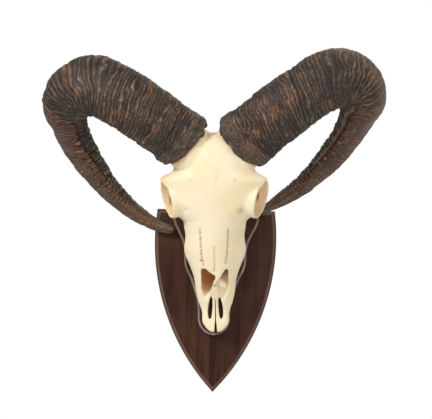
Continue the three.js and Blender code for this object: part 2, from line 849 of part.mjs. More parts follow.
// The middle wall of the nose, low and thin, with its rod over the palate.
const noseWall = () =>
  bar(
    [
      { place: bone(0, 5, 44), thick: 2.2, tall: 2.6 },
      { place: bone(0, 8, 62), thick: 1.8, tall: 5 },
      { place: bone(0, 16, 90), thick: 1.4, tall: 13 },
      { place: bone(0, 22, 124), thick: 1.4, tall: 18 },
    ],
    5,
    6,
  );

function palateSlit(side) {
  const { from, to, across, halfWidth, lean, taper } = PALATE_SLIT;
  const rings = [-SLIT_BELOW, SLIT_ABOVE].map((up) =>
    turn(SLIT_SIDES).map((a) => {
      const share = (1 + Math.cos(a)) / 2;
      const middle = across - lean * share ** 2;
      const half = halfWidth * (1 - taper * share ** 2);
      return bone(side * (middle + Math.sin(a) * half), up, THREE.MathUtils.lerp(from, to, share));
    }),
  );
  return solid(skin(rings));
}

function muzzleCleft() {
  const edge = MUZZLE_CLEFT.map(([along, half]) => [half, along]);
  const outline = [...edge, ...edge.map(([across, along]) => [-across, along]).reverse()];
  const rings = [-SLIT_BELOW, SLIT_ABOVE].map((up) =>
    outline.map(([across, along]) => bone(across, up, along)),
  );
  return solid(skin(rings));
}

const templeHollow = (side) => lump(bone(side * 48, 67, 208), { across: 12.5, up: 17, along: 17 }, 10);

function spinalHole() {
  const { wide, narrow, long, up } = SPINAL_HOLE;
  const hole = new THREE.CylinderGeometry(wide, narrow, long, 12);
  hole.rotateX(Math.PI / 2);
  hole.translate(0, -up, SKULL_LENGTH);
  return solid(hole);
}

function skullGeometry(toSkull) {
  const horns = [HORN_LEFT, HORN_RIGHT];
  const stumps = horns.map((horn) => solid(pedicle(horn).applyMatrix4(toSkull)));
  const sheaths = horns.map((horn) => solid(sheathRoom(horn).applyMatrix4(toSkull)));
  const bones = joined([
    skullCore(),
    frontalShelf(),
    nuchalCrest(),
    ...pair(socketWall),
    ...pair(cheekBar),
    ...pair(wingPlate),
    ...pair(earCapsule),
    ...pair(earTube),
    ...pair(neckProcess),
    ...pair(condyle),
    ...pair(toothRow).flat(),
    ...stumps,
  ]);
  const cuts = joined([
    ...pair(socketHollow),
    ...pair(templeHollow),
    noseHollow(),
    ...pair(palateSlit),
    muzzleCleft(),
    spinalHole(),
    ...sheaths,
  ]);
  const ends = [nasalTip(1, NASAL_TIP_LEFT), nasalTip(-1, NASAL_TIP_RIGHT), noseWall()];
  return geometryOf(joined([bones.subtract(cuts), ...ends]));
}

// ---- the object ----

const BONE = new THREE.MeshStandardMaterial({ color: 0xf1e6cc, roughness: 0.55, metalness: 0 });
const HORN = new THREE.MeshStandardMaterial({ color: 0x4a3a30, roughness: 0.6, metalness: 0 });
const WOOD = new THREE.MeshStandardMaterial({ color: 0x3d221b, roughness: 0.4, metalness: 0 });
const STEEL = new THREE.MeshStandardMaterial({ color: 0x9a9a98, roughness: 0.35, metalness: 1 });

function part(name, geometry, material) {
  const mesh = new THREE.Mesh(geometry, material);
  mesh.name = name;
  return mesh;
}

const skullFrame = new THREE.Group();
skullFrame.position.copy(MUZZLE_TIP);
skullFrame.rotation.set(0, rad(SKULL_ROLL_DEG), rad(SKULL_YAW_DEG));
skullFrame.updateMatrixWorld(true);
const toSkull = skullFrame.matrixWorld.clone().invert();
skullFrame.add(part("skull", skullGeometry(toSkull), BONE));

const ramSkull = new THREE.Group();
ramSkull.add(part("shield", shieldGeometry(), WOOD));
ramSkull.add(part("hanger_plate", hangerGeometry(), STEEL));
ramSkull.add(part("jaw_block", blockGeometry(), WOOD));
ramSkull.add(skullFrame);
ramSkull.add(part("horn_left", hornGeometry(HORN_LEFT), HORN));
ramSkull.add(part("horn_right", hornGeometry(HORN_RIGHT), HORN));

export default ramSkull;
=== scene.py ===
# %% [markdown]
# # A ram's skull on a wall shield
# The object is a bleached skull with two ringed horns, on a wooden block and a pointed shield.
# The solids already have the right size and place. This lesson gives them their finished surfaces: the
# growth rings of the horns, the seams and pores of the bone, and the grain of the stained wood.
# Lengths are written in millimetres, as a maker would, and are turned into metres when a mesh is made.

# %% Load the frame
import contextlib
import math

import bpy
import numpy as np
from mathutils import Matrix, Vector


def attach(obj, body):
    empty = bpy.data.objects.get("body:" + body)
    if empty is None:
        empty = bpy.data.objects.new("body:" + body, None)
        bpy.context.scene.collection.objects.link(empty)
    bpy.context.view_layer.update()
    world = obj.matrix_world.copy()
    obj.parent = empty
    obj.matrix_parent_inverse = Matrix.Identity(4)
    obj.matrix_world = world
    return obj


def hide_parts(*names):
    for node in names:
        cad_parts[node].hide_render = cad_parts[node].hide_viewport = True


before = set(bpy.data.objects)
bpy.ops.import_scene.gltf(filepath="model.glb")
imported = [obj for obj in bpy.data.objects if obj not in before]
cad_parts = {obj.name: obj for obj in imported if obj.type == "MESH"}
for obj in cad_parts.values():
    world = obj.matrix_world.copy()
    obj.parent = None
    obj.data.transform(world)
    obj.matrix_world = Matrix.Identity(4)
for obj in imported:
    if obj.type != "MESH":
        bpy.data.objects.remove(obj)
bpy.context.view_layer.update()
MM = 0.001
print("frame:", ", ".join(sorted(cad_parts)))


# %% [markdown]
# ## Working by hand, in code
# Operators act on whatever is selected, so each step first selects one piece alone. Edit mode is entered
# and left by a small context manager, so that no step forgets to leave it.

# %% Select a piece and edit it
def only(piece):
    bpy.ops.object.select_all(action="DESELECT")
    piece.select_set(True)
    bpy.context.view_layer.objects.active = piece


@contextlib.contextmanager
def editing(piece, mode="FACE"):
    only(piece)
    bpy.ops.object.mode_set(mode="EDIT")
    bpy.ops.mesh.select_mode(type=mode)
    yield
    bpy.ops.object.mode_set(mode="OBJECT")


def choose_faces(piece, wanted):
    bpy.ops.object.mode_set(mode="OBJECT")
    for face in piece.data.polygons:
        face.select = bool(wanted(face))
    bpy.ops.object.mode_set(mode="EDIT")


def apply_modifier(piece, kind, **settings):
    only(piece)
    modifier = piece.modifiers.new(kind.title(), kind)
    for name, value in settings.items():
        setattr(modifier, name, value)
    bpy.ops.object.modifier_apply(modifier=modifier.name)


def triangles(piece):
    return sum(len(face.vertices) - 2 for face in piece.data.polygons)


def points_of(piece):
    flat = np.empty(len(piece.data.vertices) * 3)
    piece.data.vertices.foreach_get("co", flat)
    return flat.reshape(-1, 3)


def move_points(piece, places):
    piece.data.vertices.foreach_set("co", np.ascontiguousarray(places).ravel())
    piece.data.update()


def mark(piece, name, values):
    """Keeps a number for each point on the mesh, for a material to read."""
    layer = piece.data.attributes.new(name, "FLOAT", "POINT")
    layer.data.foreach_set("value", np.asarray(values, dtype=np.float32))


def finished(piece, slot, *nodes):
    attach(piece, "root")
    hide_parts(*nodes)
    print(piece.name, "has", triangles(piece), "triangles")


# %% [markdown]
# ## Studio
# A long lens stands straight in front of the wall, turned by about a degree. A small strong light at the
# upper left shapes the rings, a broad weak one fills the right side, and one behind draws the rims. A white
# surround lifts all the shadows.

# %% Camera, lights and floor
CAMERA_PLACE = (-0.3, -2190.0, 122.0)
CAMERA_LENS = 136.3
CAMERA_ROLL = math.radians(1.2)
LIGHT_AIM = Vector((0, -0.08, 0.1))
# Each light: its place in metres, its size and its power.
LIGHTS = {
    "key": ((-1.5, -1.8, 1.15), 0.55, 43),
    "fill": ((1.5, -2.0, 0.3), 1.4, 17),
    "rim": ((0.6, 0.9, 1.8), 1.2, 10),
}
SURROUND_SEEN = 1.0
SURROUND_LIGHTING = 0.55
FLOOR_SIZE = 6
FLOOR_LEVEL = -1.4


def add_camera():
    roll = Matrix.Rotation(-CAMERA_ROLL, 4, "Y")
    level = Matrix.Rotation(math.pi / 2, 4, "X")
    bpy.ops.object.camera_add()
    camera = bpy.context.object
    camera.data.lens = CAMERA_LENS
    camera.data.sensor_width = 36
    camera.matrix_world = Matrix.Translation([v * MM for v in CAMERA_PLACE]) @ roll @ level
    bpy.context.scene.camera = camera


def add_light(name, place, size, power):
    bpy.ops.object.light_add(type="AREA", location=place)
    light = bpy.context.object
    light.name = name
    light.data.size = size
    light.data.energy = power
    aim = LIGHT_AIM - light.location
    light.rotation_euler = aim.to_track_quat("-Z", "Y").to_euler()


def add_surround(seen, lighting):
    """A white surround: how bright it shows behind the object, and how strongly it lights the object."""
    world = bpy.data.worlds.new("surround")
    world.use_nodes = True
    nodes = world.node_tree.nodes
    rays = nodes.new("ShaderNodeLightPath")
    level = nodes.new("ShaderNodeMapRange")
    level.inputs["To Min"].default_value = lighting
    level.inputs["To Max"].default_value = seen
    world.node_tree.links.new(rays.outputs["Is Camera Ray"], level.inputs["Value"])
    world.node_tree.links.new(level.outputs["Result"], nodes["Background"].inputs["Strength"])
    nodes["Background"].inputs["Color"].default_value = (1, 1, 1, 1)
    bpy.context.scene.world = world


bpy.ops.object.select_all(action="DESELECT")
add_camera()
for name, setting in LIGHTS.items():
    add_light(name, *setting)
add_surround(SURROUND_SEEN, SURROUND_LIGHTING)
bpy.context.scene.view_settings.view_transform = "Standard"
bpy.ops.mesh.primitive_plane_add(size=FLOOR_SIZE, location=(0, 0, FLOOR_LEVEL))
floor = bpy.context.object
floor.name = "floor"
print("lights:", ", ".join(LIGHTS))


# %% [markdown]
# ## Shader sums as Python
# A material is a tree of nodes. A small class wraps a socket, so that `crest * 0.5 + 0.2` adds the Math
# nodes by itself, and one method adds every other kind of node.

# %% Materials by expression
class Wire:
    def __init__(self, finish, socket):
        self.finish = finish
        self.socket = socket

    def sum(self, operation, *others):
        return self.finish.node("ShaderNodeMath", {"operation": operation}, dict(enumerate((self, *others))))

    def __add__(self, other):
        return self.sum("ADD", other)

    def __mul__(self, other):
        return self.sum("MULTIPLY", other)

    def __rsub__(self, other):
        return self * -1 + other

    __radd__ = __add__
    __rmul__ = __mul__


class Finish:
    def __init__(self, name, **constants):
        self.material = bpy.data.materials.new(name)
        self.material.use_nodes = True
        self.tree = self.material.node_tree
        self.shader = self.tree.nodes["Principled BSDF"]
        self.set(self.shader, {key.replace("_", " "): value for key, value in constants.items()})

    def set(self, node, inputs):
        for key, value in inputs.items():
            if isinstance(value, Wire):
                self.tree.links.new(value.socket, node.inputs[key])
            else:
                node.inputs[key].default_value = value

    def node(self, kind, settings, inputs, output=0):
        node = self.tree.nodes.new(kind)
        for key, value in settings.items():
            setattr(node, key, value)
        self.set(node, inputs)
        return Wire(self, node.outputs[output])

    def place(self):
        return self.node("ShaderNodeTexCoord", {}, {}, "Object")

    def stretched(self, x, y, z):
        return self.node("ShaderNodeMapping", {}, {"Vector": self.place(), "Scale": (x, y, z)})

    def noise(self, vector, scale, detail=4.0, roughness=0.55, distortion=0.0):
        inputs = {"Vector": vector, "Scale": scale, "Detail": detail, "Roughness": roughness}
        return self.node("ShaderNodeTexNoise", {}, {**inputs, "Distortion": distortion})

    def attribute(self, name):
        return self.node("ShaderNodeAttribute", {"attribute_name": name}, {}, "Fac")

    def fade(self, value, start, end):
        inputs = {"Value": value, "From Min": start, "From Max": end}
        return self.node("ShaderNodeMapRange", {"interpolation_type": "SMOOTHSTEP"}, inputs)

    def mix(self, share, first, second):
        colours = [c if isinstance(c, Wire) else (*c, 1) for c in (first, second)]
        inputs = {0: share, 6: colours[0], 7: colours[1]}
        return self.node("ShaderNodeMix", {"data_type": "RGBA"}, inputs, 2)

    def bump(self, height, distance, strength=1.0):
        inputs = {"Height": height, "Distance": distance, "Strength": strength}
        return self.node("ShaderNodeBump", {}, inputs)

    def paint(self, colour, roughness, normal):
        self.set(self.shader, {"Base Color": colour, "Roughness": roughness, "Normal": normal})
        return self.material


def dress(piece, material):
    piece.data.materials.clear()
    piece.data.materials.append(material)


# %% [markdown]
# ## The finishes
# Stained hardwood has long streaks along its grain, so noise is squeezed across and drawn out upwards.
# Its edges are paler, partly from wear and partly as a painted highlight where they catch the light, and the
# boards carry that as `edge`. Bone is pale and dry and browner in its seams and stains, with warm painted
# shade in its hollows and dark painted shade in its small holes; the skull carries those in two attributes.
# Horn has painted shade in its grooves and a tan painted highlight on its crests. Its mesh carries `crest`,
# `rim`, `turn` and `streak`, and one share for each face, so the colours follow the growth of the horn.

# %% Wood, steel and floor
def wood_finish():
    wood = Finish("stained_wood", Coat_Weight=0.12, Coat_Roughness=0.35, Specular_IOR_Level=0.08)
    edge = wood.attribute("edge")
    streak = wood.noise(wood.stretched(1, 1, 0.07), 95, 5, 0.6, 0.6)
    pores = wood.noise(wood.stretched(1, 1, 0.03), 900, 2, 0.6)
    cloud = wood.noise(wood.place(), 14, 3)
    dark = wood.mix(wood.fade(streak, 0.3, 0.72), (0.024, 0.0085, 0.0048), (0.07, 0.025, 0.0135))
    colour = wood.mix(wood.fade(cloud, 0.45, 0.7) * 0.4, dark, (0.09, 0.04, 0.026))
    colour = wood.mix(wood.fade(pores, 0.56, 0.7) * 0.5, colour, (0.01, 0.004, 0.003))
    # Pale edges: partly wear, and partly a painted highlight where the moulding and the chamfer catch the
    # light.
    worn = wood.mix(wood.fade(streak, 0.35, 0.65), (0.19, 0.13, 0.11), (0.34, 0.28, 0.26))
    worn = wood.mix(edge, (0.32, 0.16, 0.085), worn)
    height = pores * -0.6 + streak * 0.4
    return wood.paint(wood.mix(edge, colour, worn), streak * 0.2 + 0.32, wood.bump(height, 0.0004, 0.5))


def steel_finish():
    steel = Finish("hanger_steel", Metallic=1.0)
    brushed = steel.noise(steel.stretched(1, 1, 0.05), 1400, 3)
    colour = steel.mix(brushed, (0.48, 0.48, 0.46), (0.66, 0.66, 0.64))
    return steel.paint(colour, brushed * 0.25 + 0.2, steel.bump(brushed, 0.0001, 0.3))


def floor_finish():
    pale = Finish("pale_floor")
    cloud = pale.noise(pale.place(), 3)
    return pale.paint(pale.mix(cloud, (0.8, 0.8, 0.8), (0.84, 0.84, 0.83)), cloud * 0.1 + 0.6,
                      pale.bump(cloud, 0.0005, 0.1))


WOOD = wood_finish()
dress(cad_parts["hanger_plate"], steel_finish())
dress(floor, floor_finish())
print("finish:", WOOD.name)


# %% Bone
def bone_finish():
    bone = Finish("bone", Specular_IOR_Level=0.35)
    stain_and_hole_shade = bone.attribute("stain_and_hole_shade")
    warm_shade_and_stain = bone.attribute("warm_shade_and_stain")
    cloud = bone.noise(bone.place(), 22, 4)
    speck = bone.noise(bone.place(), 420, 3, 0.6)
    grain = bone.noise(bone.stretched(1, 1, 0.25), 700, 3, 0.6)
    pale = bone.mix(bone.fade(cloud, 0.35, 0.7), (0.85, 0.745, 0.53), (0.81, 0.67, 0.41))
    pale = bone.mix(bone.fade(speck, 0.6, 0.75) * 0.3, pale, (0.6, 0.42, 0.22))
    # Warm painted shade in the nose and the sockets, with the stain along the horns' skin line and old
    # bone's tone.
    warm = bone.mix(warm_shade_and_stain * (bone.fade(speck, 0.3, 0.6) * 0.4 + 0.6), pale, (0.78, 0.34, 0.11))
    # Brown seams and stains, and dark painted shade in the small holes and the slits of the sockets.
    colour = bone.mix(stain_and_hole_shade, warm, (0.17, 0.065, 0.018))
    height = grain * 0.6 + speck * -0.4 + stain_and_hole_shade * -0.8
    return bone.paint(colour, cloud * 0.15 + 0.45, bone.bump(height, 0.0004, 0.45))


BONE = bone_finish()
print("finish:", BONE.name)


# %% Horn
def horn_finish():
    horn = Finish("horn", Specular_IOR_Level=0.3)
    crest = horn.attribute("crest")
    cloud = horn.noise(horn.place(), 20, 4, 0.6)
    patch = horn.noise(horn.place(), 46, 5, 0.7, 0.4)
    olive = horn.noise(horn.place(), 33, 3)
    fleck = horn.noise(horn.place(), 230, 3, 0.7)
    grit = horn.noise(horn.place(), 480, 3, 0.7)
    fibre = horn.noise(horn.place(), 900, 3, 0.6)
    base = horn.mix(horn.fade(cloud, 0.4, 0.6), (0.033, 0.022, 0.0155), (0.068, 0.038, 0.022))
    base = horn.mix(horn.fade(patch, 0.5, 0.64) * 0.85, base, (0.2, 0.088, 0.038))
    base = horn.mix(horn.fade(olive, 0.54, 0.68) * 0.6, base, (0.12, 0.095, 0.05))
    base = horn.mix(horn.attribute("inner_face") * 0.8, base, (0.085, 0.066, 0.04))
    base = horn.mix(horn.attribute("smooth_side") * 0.7, base, (0.1, 0.056, 0.038))
    base = horn.mix(horn.attribute("red_band") * 0.7, base, (0.21, 0.075, 0.03))
    speckled = horn.mix(horn.fade(fleck, 0.42, 0.62), (0.042, 0.031, 0.021), (0.115, 0.083, 0.052))
    base = horn.mix(horn.attribute("rim") * 0.6, base, speckled)
    base = horn.mix(horn.fade(horn.attribute("streak"), 0.05, 0.4) * 0.6, base, (0.26, 0.2, 0.15))
    # Painted highlights on the crests of the rings, broken up by noise.
    crest_highlight = horn.fade(crest, 0.6, 0.95) * horn.fade(fleck, 0.4, 0.62) * horn.fade(cloud, 0.3, 0.7)
    lit = horn.mix(crest_highlight * 0.75, base, (0.38, 0.27, 0.18))
    ripple = (horn.attribute("turn") * (4 * math.pi) + fleck * 5).sum("SINE")
    lit = horn.mix(horn.fade(ripple, 0.2, -0.9) * 0.6, lit, (0.026, 0.017, 0.0125))
    lit = horn.mix(horn.fade(grit, 0.54, 0.7) * 0.55, lit, (0.25, 0.18, 0.125))
    plain = horn.fade(horn.noise(horn.place(), 15, 3), 0.45, 0.65) * horn.fade(fleck, 0.3, 0.6)
    # Painted shade in the grooves between the rings, lighter where the horn is plain.
    groove_shade = (1 - horn.fade(crest, 0.0, 0.58)) * (1 - plain * 0.55)
    colour = horn.mix(groove_shade, lit, (0.019, 0.0125, 0.009))
    # The pale patch on the bend is partly wear and partly a painted highlight.
    colour = horn.mix(horn.attribute("worn") * 0.6, colour, (0.24, 0.165, 0.115))
    scuffed = horn.attribute("keel") * (horn.fade(fleck, 0.3, 0.6) * 0.5 + 0.2)
    colour = horn.mix(scuffed, colour, (0.26, 0.2, 0.17))
    height = fibre * 0.5 + fleck * 0.6 + ripple * 0.25 + grit * 0.5
    return horn.paint(colour, 0.6 - crest * 0.14, horn.bump(height, 0.0006, 0.6))


HORN = horn_finish()
print("finish:", HORN.name)


# %% [markdown]
# ## The shield
# A pointed board with a moulded edge. A router would cut the edge in one pass. Here a filled circle's
# points are laid on the outline, the face is pulled forward, and each step of the moulding is an inset.

# %% Shield board
SHIELD_THICK = 20
SHIELD_HALF_WIDTH = 81
SHIELD_ARC_RADIUS = 292.5
SHIELD_TOP_OVER_WIDEST = 40.5
SHIELD_ARC_STEPS = 60
SHIELD_TOP_STEPS = 20
# Next to a corner this many points are left out, so that the insets of the moulding never cross there.
CORNER_STEPS = 4
# Each step of the moulding: how far in it goes and how far forward.
MOULDING_START = 10
MOULDING = ((0.8, 1.6), (2.2, 0.6), (1.2, 2.0), (2.4, 2.8), (2.4, 1.6), (0.6, 1.4))
# A band of the moulding painted paler, partly wear and partly a painted highlight: its strength and depths.
MOULDING_WEAR_AND_HIGHLIGHT = 0.35
PALE_BAND_FROM = 14.3
PALE_BAND_TO = 18.9
MOULDING_SOFTNESS = 0.5
WOOD_CREASE = math.radians(35)
HANGER_LEVEL = 82
HANGER_ROOM = (18.6, 4.6, 52.6)
POCKET_ROOM = (12, 16, 27)


def shield_outline():
    centre = SHIELD_ARC_RADIUS - SHIELD_HALF_WIDTH
    height = SHIELD_TOP_OVER_WIDEST + math.sqrt(SHIELD_ARC_RADIUS**2 - centre**2)
    widest = height / 2 - SHIELD_TOP_OVER_WIDEST
    start = math.asin(SHIELD_TOP_OVER_WIDEST / SHIELD_ARC_RADIUS)
    angle = np.linspace(start, -math.acos(centre / SHIELD_ARC_RADIUS), SHIELD_ARC_STEPS + 1)
    angle = np.concatenate((angle[:1], angle[CORNER_STEPS:-CORNER_STEPS], angle[-1:]))
    x = np.cos(angle) * SHIELD_ARC_RADIUS - centre
    z = widest + np.sin(angle) * SHIELD_ARC_RADIUS
    across = np.linspace(-x[0], x[0], SHIELD_TOP_STEPS + 1)[2:-2]
    top = np.column_stack((across, np.full(len(across), z[0])))
    side = np.column_stack((x, z))
    other = side[:-1][::-1] * (-1, 1)
    return np.vstack((side, other, top))


def board(name, outline, back, thick):
    bpy.ops.mesh.primitive_circle_add(vertices=len(outline), fill_type="NGON")
    piece = bpy.context.object
    piece.name = name
    places = np.column_stack((outline[:, 0], np.full(len(outline), -back), outline[:, 1])) * MM
    move_points(piece, places)
    with editing(piece):
        bpy.ops.mesh.select_all(action="SELECT")
        bpy.ops.mesh.extrude_region_move(TRANSFORM_OT_translate={"value": (0, -thick * MM, 0)})
        bpy.ops.mesh.select_all(action="SELECT")
        bpy.ops.mesh.normals_make_consistent(inside=False)
    return piece


def front_face(piece):
    foremost = points_of(piece)[:, 1].min()
    choose_faces(piece, lambda face: face.normal.y < -0.9 and face.center.y < foremost + 1e-5)


def cut_room(piece, size, level):
    bpy.ops.mesh.primitive_cube_add(size=1, location=(0, 0, level * MM), scale=[v * MM for v in size])
    cutter = bpy.context.object
    apply_modifier(piece, "BOOLEAN", operation="DIFFERENCE", solver="EXACT", object=cutter)
    bpy.data.objects.remove(cutter)


def make_shield():
    piece = board("shield_board", shield_outline(), 0, MOULDING_START)
    with editing(piece):
        for inward, forward in MOULDING:
            front_face(piece)
            bpy.ops.mesh.inset(thickness=inward * MM, depth=forward * MM)
    cut_room(piece, HANGER_ROOM, HANGER_LEVEL)
    cut_room(piece, POCKET_ROOM, HANGER_LEVEL)
    settings = {"segments": 3, "limit_method": "ANGLE", "angle_limit": 0.35}
    apply_modifier(piece, "BEVEL", width=MOULDING_SOFTNESS * MM, **settings)
    only(piece)
    bpy.ops.object.shade_smooth_by_angle(angle=WOOD_CREASE)
    # The moulding band is marked for its pale colour, partly wear and partly a painted highlight.
    stand = -points_of(piece)[:, 1] / MM
    mark(piece, "edge", MOULDING_WEAR_AND_HIGHLIGHT * ((stand > PALE_BAND_FROM) & (stand < PALE_BAND_TO)))
    dress(piece, WOOD)
    finished(piece, "stained_wood", "shield")


make_shield()


# %% [markdown]
# ## Curves through a few knots
# Much of the object is given by knots, such as the half width of the skull at some places along it. A
# smooth curve joins them and never swings past them, so no dent or bulge appears between two knots.

# %% Smooth curve and smooth noise
def profile(knots):
    at, value = np.array(knots, dtype=float).T
    slope = np.diff(value) / np.diff(at)
    before = np.concatenate((slope[:1], slope))
    after = np.concatenate((slope, slope[-1:]))
    total = np.where(before * after > 0, before + after, 1)
    tangent = np.where(before * after > 0, 2 * before * after / total, 0)

    def curve(place):
        p = np.clip(place, at[0], at[-1])
        i = np.clip(np.searchsorted(at, p, side="right") - 1, 0, len(slope) - 1)
        span = at[i + 1] - at[i]
        t = (p - at[i]) / span
        rise = (1 + 2 * t) * (1 - t) ** 2 * value[i] + t * t * (3 - 2 * t) * value[i + 1]
        lean = t * (1 - t) ** 2 * tangent[i] - t * t * (1 - t) * tangent[i + 1]
        return rise + lean * span

    return curve


def smooth_step(value, start, end):
    t = np.clip((value - start) / (end - start), 0, 1)
    return t * t * (3 - 2 * t)


def drift(u, v, cells, seed):
    """Smooth seeded noise from -1 to 1 on a strip: u runs from 0 to 1, v once round and joins up."""
    lattice = np.random.default_rng(seed).uniform(-1, 1, (cells[0] + 2, cells[1]))
    x = np.clip(u, 0, 1) * cells[0]
    y = (v % 1) * cells[1]
    i = np.floor(x).astype(int)
    j = np.floor(y).astype(int) % cells[1]
    fx = smooth_step(x - np.floor(x), 0, 1)
    fy = smooth_step(y - np.floor(y), 0, 1)
    k = (j + 1) % cells[1]
    low = lattice[i, j] * (1 - fy) + lattice[i, k] * fy
    high = lattice[i + 1, j] * (1 - fy) + lattice[i + 1, k] * fy
    return low * (1 - fx) + high * fx


# %% [markdown]
# ## The jaw block
# A flat block, sawn to the outline of a lower jaw, with a bevelled edge that catches the light. The same
# circle method gives the outline, and one bevel on the front edge gives the chamfer, which carries a pale
# painted highlight.

# %% Jaw block
BLOCK_BACK = SHIELD_THICK + 0.3
BLOCK_FRONT = 34
BLOCK_BEVEL = 3.4
# How strongly the chamfer gets its pale painted highlight.
CHAMFER_HIGHLIGHT = 0.9
BLOCK_CHIN = -44
BLOCK_TOP = 116
BLOCK_CORNER = 6
BLOCK_STEPS = 70
BLOCK_HALF_WIDTH = (
    (-44, 0), (-42.6, 7.5), (-38.5, 13.6), (-32, 18.8), (-24, 21.2), (-12, 21.7), (4, 23.8), (18, 28),
    (31, 32.8), (42, 38.4), (52, 41), (66, 41.3), (78, 43.5), (92, 50), (104, 55.6), (112, 57.4),
)


def block_outline():
    share = 1 - np.cos(np.linspace(0, 1, BLOCK_STEPS + 1) * math.pi / 2)
    level = BLOCK_CHIN + (BLOCK_TOP - BLOCK_CHIN) * share
    corner = np.maximum(0, 1 - (BLOCK_TOP - level) / BLOCK_CORNER)
    half = profile(BLOCK_HALF_WIDTH)(level) - BLOCK_CORNER * (1 - np.sqrt(1 - corner**2))
    right = np.column_stack((half, level))
    return np.vstack((right, right[1:][::-1] * (-1, 1)))


def make_block():
    piece = board("jaw_block_face", block_outline(), BLOCK_BACK, BLOCK_FRONT - BLOCK_BACK)
    with editing(piece):
        front_face(piece)
        bpy.ops.mesh.bevel(offset=BLOCK_BEVEL * MM, segments=5, profile=0.55, affect="EDGES")
    only(piece)
    bpy.ops.object.shade_smooth_by_angle(angle=WOOD_CREASE)
    stand = -points_of(piece)[:, 1] / MM
    # The chamfer is marked for a pale grey-mauve painted highlight, where the bevel catches the light.
    chamfer = (stand > BLOCK_FRONT - BLOCK_BEVEL + 0.2) & (stand < BLOCK_FRONT - 0.05)
    mark(piece, "edge", CHAMFER_HIGHLIGHT * chamfer)
    dress(piece, WOOD)
    finished(piece, "stained_wood", "jaw_block")


make_block()


# %% [markdown]
# ## Wrapping a sheet round a form
# A horn or a bone is a tube whose section changes. A flat grid is laid out with one row for each ring,
# its points are moved on to the rings, the seam is merged and the two ends are filled.

# %% Wrap a grid on rings
def wrap(name, rings, **attributes):
    rows, sides = rings.shape[:2]
    bpy.ops.mesh.primitive_grid_add(x_subdivisions=rows - 1, y_subdivisions=sides, size=2)
    piece = bpy.context.object
    piece.name = name
    flat = points_of(piece)
    row = np.rint((flat[:, 0] + 1) / 2 * (rows - 1)).astype(int)
    side = np.rint((flat[:, 1] + 1) / 2 * sides).astype(int) % sides
    move_points(piece, rings[row, side] * MM)
    for key, values in attributes.items():
        mark(piece, key, values[row, side])
    with editing(piece, "VERT"):
        bpy.ops.mesh.select_all(action="SELECT")
        bpy.ops.mesh.remove_doubles(threshold=1e-6)
        bpy.ops.mesh.select_all(action="DESELECT")
        bpy.ops.mesh.select_non_manifold()
        bpy.ops.mesh.fill_holes(sides=0)
        bpy.ops.mesh.select_all(action="SELECT")
        bpy.ops.mesh.normals_make_consistent(inside=False)
    return piece


def once_round(sides):
    return np.arange(sides) / sides * 2 * math.pi


def joined(pieces):
    only(pieces[0])
    for piece in pieces:
        piece.select_set(True)
    bpy.ops.object.join()
    return pieces[0]


# %% [markdown]
# ## The horns
# A ram's horn is a sheath that grows from its base, so it carries a ring for every spell of growth. The
# axis runs through a few stations. The rings are waves along it, with a spacing, a bow and a height that
# change from the base to the tip. Real displacement, not bump, gives the notched outline.

# %% Horn stations and sections
HORN_RIGHT = (
    (-41, -133.8, 205.7, 76, 61), (-64, -144, 222, 76, 61), (-93, -156, 242, 77, 61),
    (-122, -164, 259, 77, 60), (-151.3, -163, 271.5, 79, 58), (-177, -149, 267.7, 72, 56),
    (-191.3, -126, 249.9, 63, 54), (-188.5, -99, 226, 47.4, 51), (-179, -73, 200, 44, 48),
    (-160, -52, 171, 38, 42), (-132, -40, 138, 30, 34), (-103, -34, 114, 23.5, 26),
    (-77, -31, 99.5, 17, 18), (-60, -30, 94.5, 13, 13),
)
HORN_LEFT = (
    (33.9, -130.6, 209.4, 80, 62), (57, -144, 229, 78, 62), (84, -158, 250, 77, 61),
    (111, -166, 270, 75, 60), (139.3, -164, 286.2, 77.6, 58), (164, -150, 285.6, 74, 56),
    (179.8, -127, 268.1, 65, 54), (176.6, -100, 244.7, 47.6, 51), (165.4, -75, 220, 41, 47),
    (146, -56, 192, 37, 41), (117, -45, 161, 29, 33), (88, -41, 139, 21, 24),
    (65, -40, 125, 13.5, 16), (50, -40, 118, 10, 11),
)
RIM_RIGHT = {"dip": 3, "slant": -4.5}
RIM_LEFT = {"dip": 11, "slant": 2.5}
RIM_SHARE = 0.22
HORN_KEEL = 0.05
# The blunt tip: how far each closing ring lies past the last station, and its size.
TIP_AHEAD = (1, 2, 3, 4, 4.7, 5)
TIP_SCALE = (0.96, 0.9, 0.82, 0.7, 0.56, 0.4)


def axis_through(points, t):
    last = len(points) - 1
    place = np.clip(t, 0, 1) * last
    i = np.minimum(place.astype(int), last - 1)
    w = (place - i)[:, None]
    padded = np.vstack((2 * points[0] - points[1], points, 2 * points[-1] - points[-2]))
    p0, p1, p2, p3 = (padded[i + k] for k in range(4))

    def pace(a, b):
        return (((a - b) ** 2).sum(axis=1) ** 0.25)[:, None]

    d0, d1, d2 = pace(p0, p1), pace(p1, p2), pace(p2, p3)
    m1 = ((p1 - p0) / d0 - (p2 - p0) / (d0 + d1) + (p2 - p1) / d1) * d1
    m2 = ((p2 - p1) / d1 - (p3 - p1) / (d1 + d2) + (p3 - p2) / d2) * d1
    return p1 + m1 * w + (3 * (p2 - p1) - 2 * m1 - m2) * w**2 + (2 * (p1 - p2) + m1 + m2) * w**3


def horn_sections(stations, t):
    table = np.array(stations, dtype=float)
    share = np.linspace(0, 1, len(table))
    middle = axis_through(table[:, :3], t)
    ahead = axis_through(table[:, :3], t + 1e-4) - axis_through(table[:, :3], t - 1e-4)
    ahead /= np.linalg.norm(ahead, axis=1)[:, None]
    facing = np.array((0.0, -1.0, 0.0)) - ahead * (-ahead[:, 1])[:, None]
    facing /= np.linalg.norm(facing, axis=1)[:, None]
    wide = profile(np.column_stack((share, table[:, 3])))(t)
    deep = profile(np.column_stack((share, table[:, 4])))(t)
    return middle, ahead, facing, np.cross(ahead, facing), wide, deep


